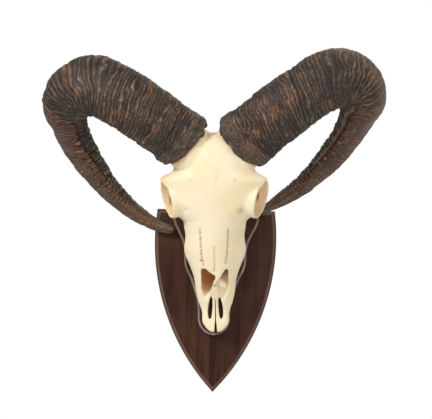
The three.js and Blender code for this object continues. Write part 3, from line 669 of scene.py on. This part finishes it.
def horn_rings(stations, rim, t, angle, grow=0.0, slide=0.0):
    """Rings of points, made larger by `grow` and slid towards the tip by `slide`, in millimetres."""
    middle, ahead, facing, side, wide, deep = horn_sections(stations, t)
    keel = 1 + HORN_KEEL * np.cos(3 * angle - math.pi / 2)
    fade = (np.maximum(0, 1 - t / RIM_SHARE) ** 2)[:, None]
    tilt = fade * (np.cos(angle) * rim["slant"] - np.sin(angle) * rim["dip"]) + slide
    half_wide = keel * wide[:, None] / 2 + grow
    half_deep = keel * deep[:, None] / 2 + grow
    rings = middle[:, None] + side[:, None] * (np.cos(angle) * half_wide)[..., None]
    rings += facing[:, None] * (np.sin(angle) * half_deep)[..., None]
    return rings + ahead[:, None] * tilt[..., None]


# %% [markdown]
# ## Faces and rings
# The falling half of each horn has an inner face, a smooth outer side and a redder band between them. The
# left horn also has a pale keel, and the outer face of its bend is paler: partly wear, partly a painted
# highlight. These come only from wear, growth and painted light, so they are shares, not cut forms.

# %% Faces of the falling half
# Where the faces meet, from 1 at the outer edge of the bend to -1 inside it, how strong the keel is, and how
# strong the pale bend is, partly wear and partly a painted highlight.
FACES_RIGHT = {"inner": -0.42, "outer": 0.26, "furrow": -0.4, "keel": 0, "worn": 0}
FACES_LEFT = {"inner": -0.6, "outer": -0.1, "furrow": -0.46, "keel": 1, "worn": 1}
KEEL_PLACE = -0.62
KEEL_WIDTH = 0.06
FURROW_WIDTH = 0.07
# Shares of the horn's length: where it falls, where its keel starts and ends, and where its bend is paler,
# partly from wear and partly as a painted highlight.
FALL_START = (0.42, 0.54)
KEEL_START = (0.4, 0.48)
KEEL_END = (0.86, 0.7)
PALE_BEND_PLACE = 0.48
PALE_BEND_REACH = 0.12


def horn_faces(length, curl, edges):
    """Each face of the falling half as a share from 0 to 1. Curl is 0 outside the bend and pi inside it."""
    place = np.cos(curl)
    shown = smooth_step(np.sin(curl), -0.2, 0.2)
    falling = smooth_step(length, *FALL_START)
    inner = falling * smooth_step(place, edges["inner"] + 0.12, edges["inner"] - 0.12)
    outer = falling * smooth_step(place, edges["outer"] - 0.14, edges["outer"] + 0.14)
    ridge = shown * smooth_step(length, *KEEL_START) * smooth_step(length, *KEEL_END)
    worn_reach = np.exp(-(((length - PALE_BEND_PLACE) / PALE_BEND_REACH) ** 2))
    return {
        "inner_face": inner,
        "smooth_side": outer,
        "red_band": falling * shown * (1 - inner) * (1 - outer),
        "keel": edges["keel"] * ridge * np.exp(-(((place - KEEL_PLACE) / KEEL_WIDTH) ** 2)),
        "furrow": ridge * np.exp(-(((place - edges["furrow"]) / FURROW_WIDTH) ** 2)),
        # The pale outer face of the bend: partly wear, partly a painted highlight.
        "worn": edges["worn"] * smooth_step(place, 0.3, 0.95) * worn_reach,
    }


# %% Growth rings
HORN_ROWS = 780
HORN_SIDES = 116
# Distance between rings, by the share of the horn's length from base to tip, in millimetres.
RING_SPACING = ((0, 4), (0.3, 4.3), (0.5, 5), (0.62, 6), (0.85, 5), (1, 4))
# How far the rings bow towards the base on the face that shows, in millimetres.
RING_BOW = ((0, 5), (0.3, 5), (0.5, 0), (0.65, -5), (1, -7))
# How far they run back towards the base from the outer edge of the bend to the inner one.
RING_LEAN = ((0, 17), (0.25, 16), (0.42, 8), (0.55, 0), (1, 0))
RINGS_A_YEAR = 11.3
YEAR_WIDTH = 0.28
CREST_SINK = 0.7
TIP_START = (0.8, 0.92)
RIM_LENGTH = 18


def growth(length, curl, travel, edges, seed):
    """How high each point stands, in millimetres, and the shares that the horn material reads."""
    round_share = curl / (2 * math.pi)

    def rough(*cells):
        return drift(length, round_share, cells, seed + cells[0])

    shares = horn_faces(length, curl, edges)
    spacing = profile(RING_SPACING)(length)
    step = np.diff(travel, axis=0, prepend=travel[:1])
    bow = profile(RING_BOW)(length) * np.maximum(np.sin(curl), 0)
    lean = profile(RING_LEAN)(length) * np.maximum(0.3 - np.cos(curl), 0) ** 1.5 / 1.3**1.5
    turn = np.cumsum(step / spacing, axis=0) + (bow + lean) / spacing
    turn += 0.55 * rough(26, 7) + 0.45 * rough(60, 13) + 0.3 * rough(140, 29)
    phase = 2 * math.pi * turn
    broken = 0.5 + 0.5 * rough(200, 34)
    wave = (0.5 + 0.5 * np.cos(phase + 0.25 * np.sin(phase))) * (0.4 + 0.6 * broken)
    wave += 0.3 * np.cos(phase / 2) * broken
    aged = (turn + 2 * np.sin(turn * 0.2)) / RINGS_A_YEAR
    year = np.exp(-((((aged + 0.5) % 1 - 0.5) * RINGS_A_YEAR / YEAR_WIDTH) ** 2))
    tip = smooth_step(length, *TIP_START)
    rim = smooth_step(travel, RIM_LENGTH + 3, RIM_LENGTH - 4)
    coarse = 0.6 * rough(61, 26) + 0.4 * rough(260, 60)
    strong = 1.25 + 0.7 * shares["inner_face"] - 0.1 * shares["red_band"] - 0.95 * shares["smooth_side"]
    strong *= (1 + 0.6 * rough(70, 11)) * (1 - 0.8 * tip) * (1 - 0.6 * rim)
    strong *= (1 - 0.55 * np.cos(curl) ** 8 * (1 - shares["inner_face"])) * (1 - 0.6 * shares["worn"])
    height = strong * (wave - 1) - 0.8 * year * (1 - tip) * (1 - rim) * (1 - shares["smooth_side"])
    height += 1.6 * np.minimum(0, rough(40, 9)) + 1.1 * np.minimum(0, rough(84, 8)) * (1 - tip)
    height += 1.6 * shares["red_band"] * np.maximum(rough(91, 24), 0) ** 1.5 * (1 - tip)
    height += 0.9 * shares["keel"] - 1.2 * shares["furrow"]
    height += rim * (1.0 + 1.1 * coarse) + 0.25 * coarse - 0.25 * np.maximum(0, 3 - travel) ** 2
    # `crest` is kept for the material: painted highlight on the crests, painted shade in grooves, year lines
    # and furrow.
    crest = np.clip(0.1 + wave - 0.2 * year - 0.6 * shares["furrow"] + 0.3 * coarse, 0, 1)
    even = np.maximum.reduce((0.7 * shares["smooth_side"], 0.5 * rim, 0.85 * tip, shares["keel"]))
    crest = crest * (1 - even) + even * (0.75 + 0.3 * coarse)
    del shares["furrow"]
    carried = {"crest": crest, "rim": rim, "turn": turn, "streak": tip * rough(9, 40)}
    return height - CREST_SINK, {**shares, **carried}


# %% Both horns
JAGGED = 1.6


def make_horn(name, node, stations, rim, edges, mirrored, seed):
    t = np.linspace(0, 1, HORN_ROWS)
    angle = np.repeat(once_round(HORN_SIDES)[None, :], HORN_ROWS, axis=0)
    middle, ahead = horn_sections(stations, t)[:2]
    step = np.linalg.norm(np.diff(middle, axis=0, prepend=middle[:1]), axis=1)
    travel = np.repeat(np.cumsum(step)[:, None], HORN_SIDES, axis=1)
    length = travel / travel[-1]
    curl = (math.pi - angle if mirrored else angle) % (2 * math.pi)
    height, shares = growth(length, curl, travel, edges, seed)
    round_share = curl / (2 * math.pi)
    torn = drift(length, round_share, (2, 44), seed) + drift(length, round_share, (2, 19), seed)
    slide = JAGGED * torn * np.maximum(0, 1 - travel / 6) ** 2
    rings = horn_rings(stations, rim, t, angle, height, slide)
    centre = rings[-1].mean(axis=0)
    caps = [centre + (rings[-1] - centre) * s + ahead[-1] * a for a, s in zip(TIP_AHEAD, TIP_SCALE)]
    rings = np.concatenate((rings, caps))
    carried = {key: np.concatenate((v, np.repeat(v[-1:], len(caps), axis=0))) for key, v in shares.items()}
    piece = wrap(name, rings, **carried)
    only(piece)
    bpy.ops.object.shade_smooth_by_angle(angle=math.radians(60))
    dress(piece, HORN)
    finished(piece, "horn", node)


make_horn("horn_sheath_right", "horn_right", HORN_RIGHT, RIM_RIGHT, FACES_RIGHT, False, 11)
make_horn("horn_sheath_left", "horn_left", HORN_LEFT, RIM_LEFT, FACES_LEFT, True, 47)


# %% [markdown]
# ## The skull
# A skull is one bone object of many curved forms. Each form is wrapped by itself, in the skull's own
# measures: across from the middle, up off the palate, and along from the tip of the muzzle. A voxel
# remesh melts them into one skin, a boolean cuts the hollows, and a second remesh rounds the new edges.

# %% Skull measures
MUZZLE_TIP = (2.7, -46.4, -39)
SKULL_ROLL = math.radians(-1.1)
SKULL_YAW = math.radians(-2)
SKULL_LENGTH = 258
SKULL_TURN = np.array(Matrix.Rotation(SKULL_ROLL, 3, "Y") @ Matrix.Rotation(SKULL_YAW, 3, "Z"))
CORE_HALF_WIDTH = (
    (0, 3), (2, 8.8), (5, 11.8), (9, 15), (13.5, 17.4), (18, 18.1), (24, 17.7), (30, 18.7), (41, 22.4),
    (54, 25.3), (70, 27.2), (86, 32), (104, 39), (110, 40), (127, 38), (143, 40), (152, 39), (166, 31),
    (180, 27), (198, 30), (215, 35), (232, 37), (246, 34), (254, 27), (258, 15),
)
CORE_TOP = (
    (0, 3.5), (6, 6), (16, 9), (30, 14), (46, 25), (60, 37), (75, 48), (95, 58), (120, 71), (150, 85),
    (175, 96), (200, 105), (222, 109), (238, 107), (250, 100), (258, 88),
)
CORE_WIDEST = (
    (0, 1.8), (20, 4), (45, 9), (70, 17), (95, 25), (112, 31), (135, 38), (155, 48), (180, 60), (215, 62),
    (258, 58),
)
CORE_BOTTOM = ((0, 0), (150, 0), (158, 5), (166, 16), (178, 27), (200, 30), (240, 27), (252, 30), (258, 44))
CORE_ROOF_POWER = ((0, 2.4), (40, 2.3), (70, 2), (120, 1.9), (160, 2.2), (200, 2.3), (258, 2.2))
CORE_FLOOR_POWER = ((0, 3), (60, 3.4), (145, 3.2), (175, 2.2), (258, 2.2))
core_top = profile(CORE_TOP)


def skull_place(local):
    return local @ SKULL_TURN.T + MUZZLE_TIP


def skull_measures(places):
    local = (places / MM - MUZZLE_TIP) @ SKULL_TURN
    return local[:, 0], -local[:, 1], local[:, 2]


def bone_rings(across, up, along):
    across, up, along = np.broadcast_arrays(across, up, along)
    return skull_place(np.stack((across, -up, along), axis=-1))


def squared(value, power):
    return np.sign(value) * np.abs(value) ** power


def both(make):
    return [make(1), make(-1)]


# %% Braincase, face and brow
SHELF_HALF_WIDTH = (
    (146, 37), (152, 43), (158, 48), (166, 51), (175, 53), (184, 57), (192, 63), (197, 67.5), (199.5, 68),
    (203, 65.2), (206, 59.5), (209, 55), (216, 54), (226, 53), (238, 44), (248, 32), (254, 20),
)
SHELF_EDGE_LEVEL = ((146, 70), (158, 78), (175, 87), (197, 90), (212, 86), (235, 82), (256, 78))
SHELF_THICK = ((146, 16), (165, 12), (197, 9), (210, 14), (235, 22), (256, 14))
SHELF_SAG = 0.5
SHELF_EDGE_POWER = 0.8


def core():
    even = np.linspace(0, 1, 150)
    along = (SKULL_LENGTH * (0.55 * even + 0.45 * (1 - np.cos(math.pi * even)) / 2))[:, None]
    angle = once_round(96)[None, :]
    roof = np.sin(angle) > 0
    middle = profile(CORE_WIDEST)(along)
    power = 2 / np.where(roof, profile(CORE_ROOF_POWER)(along), profile(CORE_FLOOR_POWER)(along))
    reach = np.where(roof, core_top(along) - middle, middle - profile(CORE_BOTTOM)(along))
    across = squared(np.cos(angle), power) * profile(CORE_HALF_WIDTH)(along)
    return wrap("skull_core", bone_rings(across, middle + squared(np.sin(angle), power) * reach, along))


def shelf():
    along = np.linspace(146, 254, 90)[:, None]
    angle = once_round(72)[None, :]
    out = squared(np.cos(angle), SHELF_EDGE_POWER)
    thick = profile(SHELF_THICK)(along)
    fall = (core_top(along) - profile(SHELF_EDGE_LEVEL)(along)) * out**2 + SHELF_SAG * (1 - np.abs(out))
    up = core_top(along) - thick / 2 - fall + np.sin(angle) * thick / 2
    return wrap("brow", bone_rings(out * profile(SHELF_HALF_WIDTH)(along), up, along))


# %% Bars, lumps and sockets
def bar(stops, rows=40, sides=28):
    """A rod of bone. Each stop is across, up, along, and its half sizes across and up."""
    table = np.array(stops, dtype=float)
    table[:, 1] *= -1
    share = np.linspace(0, 1, len(table))
    t = np.linspace(0, 1, rows)
    middle = np.stack([profile(np.column_stack((share, table[:, k])))(t) for k in range(3)], axis=1)
    ahead = np.gradient(middle, axis=0)
    ahead /= np.linalg.norm(ahead, axis=1)[:, None]
    up = np.array((0.0, -1.0, 0.0)) + ahead * ahead[:, 1:2]
    up /= np.linalg.norm(up, axis=1)[:, None]
    side = np.cross(ahead, up)
    angle = once_round(sides)[None, :, None]
    thick = profile(np.column_stack((share, table[:, 3])))(t)[:, None, None]
    tall = profile(np.column_stack((share, table[:, 4])))(t)[:, None, None]
    rings = middle[:, None] + side[:, None] * np.cos(angle) * thick + up[:, None] * np.sin(angle) * tall
    return wrap("bar", skull_place(rings))


def lump(across, up, along, size):
    polar = np.linspace(0.02, math.pi - 0.02, 30)[:, None]
    angle = once_round(40)[None, :]
    wide, tall, long = size
    x = across + np.sin(polar) * np.cos(angle) * wide
    y = up + np.sin(polar) * np.sin(angle) * tall
    return wrap("lump", bone_rings(x, y, along + np.cos(polar) * long))


SOCKET_CENTRE = (59.4, 66.5, 174.5)
SOCKET_AXIS = (0.92, 0.27, -0.25)


def socket_cone(side, stops):
    axis = np.array((side * SOCKET_AXIS[0], -SOCKET_AXIS[1], SOCKET_AXIS[2]))
    axis /= np.linalg.norm(axis)
    centre = np.array((side * SOCKET_CENTRE[0], -SOCKET_CENTRE[1], SOCKET_CENTRE[2]))
    up = np.array((0.0, -1.0, 0.0)) + axis * axis[1]
    up /= np.linalg.norm(up)
    along = np.cross(axis, up)
    depth = np.linspace(stops[0][0], stops[-1][0], 40)
    radius = profile(stops)(depth)[:, None, None]
    angle = once_round(64)[None, :, None]
    rings = (centre - axis * depth[:, None])[:, None] + along * np.cos(angle) * radius
    return wrap("socket", skull_place(rings + up * np.sin(angle) * radius))


def mirrored_bar(stops):
    return both(lambda side: bar([(side * a, *rest) for a, *rest in stops]))


CHEEK_BAR = (
    (33.5, 34, 118, 4, 9), (34.5, 37, 134, 4, 10), (37, 41, 148, 4, 10), (47, 43, 156.5, 4, 8),
    (59.5, 44, 165, 4, 6.5), (62.5, 46, 180, 3.4, 6), (58, 48, 197, 3.4, 5.5), (48, 48, 210, 4.4, 5.5),
    (36, 46, 222, 7, 6), (26, 45, 228, 8, 8),
)
WING_PLATE = ((15, 12, 142, 3, 10), (13.5, 16, 160, 2.2, 13), (12, 20, 180, 2, 13), (12, 24, 198, 2.4, 10))
EAR_TUBE = ((24, 34, 228, 6, 6), (38, 40, 233, 4.5, 4.5))
NECK_PROCESS = ((25, 50, 243, 8, 8), (27, 26, 243, 4, 6), (26, 8, 238, 2, 3.4))
NUCHAL_CREST = (
    (-34, 62, 240, 5, 5), (-20, 80, 248, 5, 6), (0, 88, 251.5, 5, 7),
    (20, 80, 248, 5, 6), (34, 62, 240, 5, 5),
)
SOCKET_WALL = ((-1.6, 24.6), (0.6, 26), (5, 26), (14, 25.6), (30, 24))
SOCKET_HOLLOW = ((-8, 25.6), (0, 23.4), (8, 22.6), (26, 18.6), (38, 11))


# %% Cheek teeth
# Length along the row, width across it, and distance from the middle, front to back.
TEETH = ((8, 7, 21.5), (9, 9, 23), (10, 11, 24.4), (13, 13, 26), (15.5, 13.5, 27.6), (17.5, 13, 28.6))
TEETH_START = 76
TOOTH_LEVELS = ((6, 1), (-9.5, 1), (-10.4, 0.95), (-11, 0.86))
TOOTH_GAP = 0.4


def tooth_row(side):
    made = []
    start = TEETH_START
    angle = once_round(28)[None, :]
    up, scale = np.array(TOOTH_LEVELS).T[..., None]
    for long, wide, across in TEETH:
        x = side * (across + squared(np.cos(angle), 0.6) * wide / 2 * scale)
        z = start + long / 2 + squared(np.sin(angle), 0.6) * (long - TOOTH_GAP) / 2 * scale
        made.append(wrap("tooth", bone_rings(x, up, z)))
        start += long
    return made


# %% [markdown]
# ## The hollows
# The nose has two sides, and each tapers forward to a shallow tongue beside the ridge of the muzzle. Every
# hollow is a closed form of its own, which a boolean takes away, so its wall stays clean. The narrow cleft
# of the muzzle is cut last, because a remesh would close it.

# %% Nose, palate and the other hollows
NOSE_OUTER = ((39, 10.5), (47, 14), (60, 17.4), (84, 17.6), (100, 16), (122, 10))
NOSE_INNER = ((39, 9.5), (47, 8), (60, 3.6), (70, 0.6), (76, -0.8), (122, -0.8))
NOSE_FLOOR = {
    -1: ((39, 19.8), (47, 20.8), (54, 19), (64, 13), (76, 6), (84, 5)),
    1: ((39, 19.8), (47, 22), (54, 24), (64, 25), (76, 22), (86, 12), (94, 6)),
}
NASAL_THICK = 3
NASAL_TIPS = {1: 66, -1: 77}
# The cleft between the two halves of the muzzle: place along, and half width.
MUZZLE_CLEFT = ((-4, 2.2), (4, 1.9), (16, 0.8), (46, 0.5))
NOSE_WALL = ((0, 5, 44, 2.2, 2.6), (0, 8, 62, 1.8, 5), (0, 16, 90, 1.4, 13), (0, 22, 124, 1.4, 18))
STUMP_STOPS = ((-52, 0.45, 0.5), (-30, 0.7, 0.2), (-12, 0.8, 0.03), (-0.4, 0.8, 0))
STUMP_DROP = 3
SHEATH_GAP = 0.6


def nose_hollow(side):
    along = np.concatenate((np.linspace(39, 83.9, 44), np.linspace(84, 122, 40)))[:, None]
    angle = once_round(48)[None, :]
    roof = core_top(along) + np.where(along < 84, 8, -NASAL_THICK)
    floor = profile(NOSE_FLOOR[side])(along)
    inner = profile(NOSE_INNER)(along)
    half = (profile(NOSE_OUTER)(along) - inner) / 2
    across = side * (inner + half + squared(np.cos(angle), 0.7) * half)
    up = (roof + floor + squared(np.sin(angle), 0.7) * (roof - floor)) / 2
    return wrap("nose", bone_rings(across, up, along))


def nasal_tip(side):
    t = np.linspace(0, 1, 40)[:, None]
    along = 90 + (NASAL_TIPS[side] - 90) * t
    half = 7.6 * (1 - 0.88 * t**1.6)
    angle = once_round(32)[None, :]
    across = side * half + np.cos(angle) * half
    up = core_top(along) - NASAL_THICK / 2 - 0.012 * across**2 - t + np.sin(angle) * NASAL_THICK / 2
    return wrap("nasal_tip", bone_rings(across, up, along))


def palate_slit(side):
    angle = once_round(48)[None, :]
    share = (1 + np.cos(angle)) / 2
    half = 3.2 * (1 - 0.35 * share**2)
    across = side * (7.5 - 2.9 * share**2 + np.sin(angle) * half)
    return wrap("slit", bone_rings(across, np.linspace(-4, 27, 8)[:, None], 17 + 33 * share))


def muzzle_cleft():
    edge = np.array(MUZZLE_CLEFT, dtype=float)
    along = np.concatenate((edge[:, 0], edge[::-1, 0]))[None, :]
    across = np.concatenate((edge[:, 1], -edge[::-1, 1]))[None, :]
    return wrap("cleft", bone_rings(across, np.linspace(-4, 24, 2)[:, None], along))


def spinal_hole():
    along = np.linspace(245, 271, 6)[:, None]
    radius = 8 + 1.5 * (along - 245) / 26
    angle = once_round(40)[None, :]
    return wrap("spinal_hole", bone_rings(np.cos(angle) * radius, 42 + np.sin(angle) * radius, along))


def stump(stations, rim):
    middle, ahead, facing, side, wide, deep = horn_sections(stations, np.zeros(1))
    angle = once_round(48)
    keel = 1 + HORN_KEEL * np.cos(3 * angle - math.pi / 2)
    tilt = np.cos(angle) * rim["slant"] - np.sin(angle) * rim["dip"]
    rings = []
    for back, scale, inward in STUMP_STOPS:
        place = middle[0] + ahead[0] * back
        place[0] *= 1 - inward
        place[2] -= STUMP_DROP
        ring = place + side[0] * (np.cos(angle) * keel * wide[0] / 2 * scale)[:, None]
        ring = ring + facing[0] * (np.sin(angle) * keel * deep[0] / 2 * scale)[:, None]
        rings.append(ring + ahead[0] * (tilt * scale)[:, None])
    return wrap("stump", np.array(rings))


def sheath_room(stations, rim):
    t = np.linspace(0, 0.2, 24)
    rings = horn_rings(stations, rim, t, once_round(64)[None, :], grow=SHEATH_GAP)
    ahead = horn_sections(stations, t)[1]
    rings[0] -= ahead[0] * SHEATH_GAP
    return wrap("sheath_room", rings)


# %% Melt the bones together and cut the hollows
BONE_VOXEL = 1.35


def melt(piece, voxel):
    apply_modifier(piece, "REMESH", mode="VOXEL", voxel_size=voxel * MM, use_smooth_shade=True)


def all_bones():
    made = [core(), shelf(), bar(NUCHAL_CREST)]
    made += both(lambda side: socket_cone(side, SOCKET_WALL))
    made += mirrored_bar(CHEEK_BAR) + mirrored_bar(WING_PLATE) + mirrored_bar(EAR_TUBE)
    made += mirrored_bar(NECK_PROCESS)
    made += both(lambda side: lump(side * 20, 27, 219, (9, 11, 15)))
    made += both(lambda side: lump(side * 12.5, 37, 248, (10, 14, 12)))
    made += tooth_row(1) + tooth_row(-1)
    made += [stump(HORN_LEFT, RIM_LEFT), stump(HORN_RIGHT, RIM_RIGHT)]
    return joined(made)


def all_hollows():
    made = both(lambda side: socket_cone(side, SOCKET_HOLLOW))
    made += both(lambda side: lump(side * 48, 67, 208, (12.5, 17, 17)))
    made += both(nose_hollow) + [spinal_hole()] + both(palate_slit)
    made += [sheath_room(HORN_LEFT, RIM_LEFT), sheath_room(HORN_RIGHT, RIM_RIGHT)]
    return joined(made)


skull = all_bones()
skull.name = "skull_bone"
melt(skull, BONE_VOXEL)
hollows = all_hollows()
melt(hollows, 1.1)
apply_modifier(skull, "BOOLEAN", operation="DIFFERENCE", solver="EXACT", object=hollows)
bpy.data.objects.remove(hollows)
skull = joined([skull, nasal_tip(1), nasal_tip(-1), bar(NOSE_WALL)])
melt(skull, BONE_VOXEL)
apply_modifier(skull, "SMOOTH", factor=0.5, iterations=4)
cleft = muzzle_cleft()
apply_modifier(skull, "BOOLEAN", operation="DIFFERENCE", solver="EXACT", object=cleft)
bpy.data.objects.remove(cleft)
print("melted skull:", triangles(skull), "triangles")


# %% [markdown]
# ## Seams, pores and pits
# The plates of a skull meet in wavy seams, and nerves leave it through small holes. Each seam is a short
# line in the skull's own measures. Points near it sink a little, and the same nearness is kept in an
# attribute that the bone material paints brown. The same attribute carries dark painted shade for the small
# holes and for the slits in the sockets.

# %% Seams and pits on the skull
# Each seam: its points as across and along, how wide, deep and dark it is, and how broken up.
SEAMS = (
    (((0.4, 114), (0, 100), (0.3, 82)), 0.75, 0.45, 0.6, 0.3),
    (((-17.8, 136), (-17.2, 118), (-16.6, 103), (-14.2, 90)), 1.15, 0.7, 0.95, 0.85),
    (((18.2, 136), (17.6, 118), (16.4, 103), (14.2, 92)), 0.95, 0.6, 0.8, 0.5),
    (((-17.8, 136), (-12, 148), (0, 156), (12, 148), (18.2, 136)), 0.8, 0.15, 0.06, 0.4),
    (((0.5, 258), (0, 230), (1.5, 200), (0.5, 170)), 0.8, 0.12, 0.05, 0.3),
)
# Each pit: across, along, radius, depth and darkness. The darkness is painted shade inside the pit, and at
# the crown it is a brown stain.
PITS = (
    (-29.4, 196.6, 1.9, 1, 0.25), (27.8, 196.6, 1.9, 1, 0.25), (34.7, 158, 4, 3, 0.33),
    (-35, 159, 3.4, 1.4, 0.08), (-16.8, 95.5, 1.6, 1.2, 0.9), (4, 199, 1.6, 0.6, 0.25),
    (0.2, 62.5, 1.4, 1.2, 1), (-6, 254.5, 2.4, 0.3, 0.5),
)
# Painted shade for the dark slits where nerves leave the sockets: across, along, half width and half length.
SOCKET_SLITS = ((-56.4, 175, 2.1, 8), (54.8, 180, 1.7, 8))
# How strongly the nose's left side and the sockets get warm painted shade, and how strongly the skin line of
# the horns and the old bone are stained.
LEFT_NOSE_SHADE = 0.16
SOCKET_SHADE = 0.22
FRINGE_STAIN = 0.2
FRINGE_TINT = 0.75
AGED_TINT = 0.03
BONE_CREASE = math.radians(70)


def nearness(across, along, line, wide):
    best = np.full(len(across), 1e9)
    wiggle = 0.9 * np.sin(along * 1.7) + 0.6 * np.sin(along * 3.9 + 1)
    for (x0, z0), (x1, z1) in zip(line, line[1:]):
        run = np.array((x1 - x0, z1 - z0), dtype=float)
        t = np.clip(((across - x0) * run[0] + (along - z0) * run[1]) / (run @ run), 0, 1)
        gap = np.hypot(across + 0.35 * wiggle - x0 - t * run[0], along - z0 - t * run[1])
        best = np.minimum(best, gap)
    return np.exp(-((best / wide) ** 2))


def sheath_stain(places):
    total = np.zeros(len(places))
    for stations in (HORN_LEFT, HORN_RIGHT):
        middle, ahead = horn_sections(stations, np.zeros(1))[:2]
        offset = places / MM - middle[0]
        back = offset @ ahead[0]
        total = np.maximum(total, smooth_step(back, -11, 1) * smooth_step(back, 24, 12))
    return total


def finish_skull(piece):
    places = points_of(piece)
    normals = np.empty(len(places) * 3)
    piece.data.vertices.foreach_get("normal", normals)
    normals = normals.reshape(-1, 3)
    across, up, along = skull_measures(places)
    facing = smooth_step(-normals[:, 1], 0.25, 0.6) * smooth_step(up, 10, 30)
    sink = np.zeros(len(places))
    stain_and_hole_shade = np.zeros(len(places))
    for line, wide, deep, dark, broken in SEAMS:
        dots = 1 - broken * (0.5 + 0.5 * np.sin(along * 2.1 + 2 * np.sin(along * 0.7)))
        near = nearness(across, along, line, wide) * facing * dots
        sink = np.maximum(sink, near * deep)
        stain_and_hole_shade = np.maximum(stain_and_hole_shade, near * dark)
    for x, z, radius, deep, dark in PITS:
        near = np.exp(-((np.hypot(across - x, along - z) / radius) ** 2)) * facing
        sink = np.maximum(sink, near * deep)
        stain_and_hole_shade = np.maximum(stain_and_hole_shade, near * dark)
    # The dark nerve slits of the sockets are painted shade.
    for x, z, wide, long in SOCKET_SLITS:
        near = np.exp(-(((across - x) / wide) ** 2) - ((along - z) / long) ** 4)
        stain_and_hole_shade = np.maximum(stain_and_hole_shade, near * smooth_step(up, 84, 76))
    move_points(piece, places - normals * sink[:, None] * MM)
    # Warm painted shade: in the nose, under its roof, and on the inner walls of the sockets.
    roof = core_top(along) - 5
    nose = smooth_step(roof - up, -4, 12) * smooth_step(along, 42, 72) * smooth_step(along, 128, 120)
    nose *= smooth_step(np.abs(across), 18.6, 17) * np.where(across < 0, 1, LEFT_NOSE_SHADE)
    nose *= smooth_step(up, 3, 6)
    turned = normals @ SKULL_TURN * (1, -1, 1)
    offset = np.stack((np.abs(across), up, along), axis=1) - SOCKET_CENTRE
    axis = np.array(SOCKET_AXIS) / np.linalg.norm(SOCKET_AXIS)
    spread = offset - np.outer(offset @ axis, axis)
    turned[:, 0] *= np.sign(across)
    inward = -(turned * spread).sum(axis=1) / np.maximum(np.linalg.norm(spread, axis=1), 1)
    socket = smooth_step(inward, 0.1, 0.5) * smooth_step(np.linalg.norm(spread, axis=1), 25, 23)
    socket *= smooth_step(offset @ axis, -40, -34)
    fringe = sheath_stain(places)
    mark(piece, "stain_and_hole_shade", np.maximum(stain_and_hole_shade, fringe * FRINGE_STAIN))
    aged = AGED_TINT * smooth_step(along, 140, 200)
    warm = np.maximum(np.maximum(nose, socket * SOCKET_SHADE), fringe * FRINGE_TINT)
    mark(piece, "warm_shade_and_stain", aged + warm)
    only(piece)
    bpy.ops.object.shade_smooth_by_angle(angle=BONE_CREASE)
    dress(piece, BONE)
    finished(piece, "bone", "skull")


finish_skull(skull)
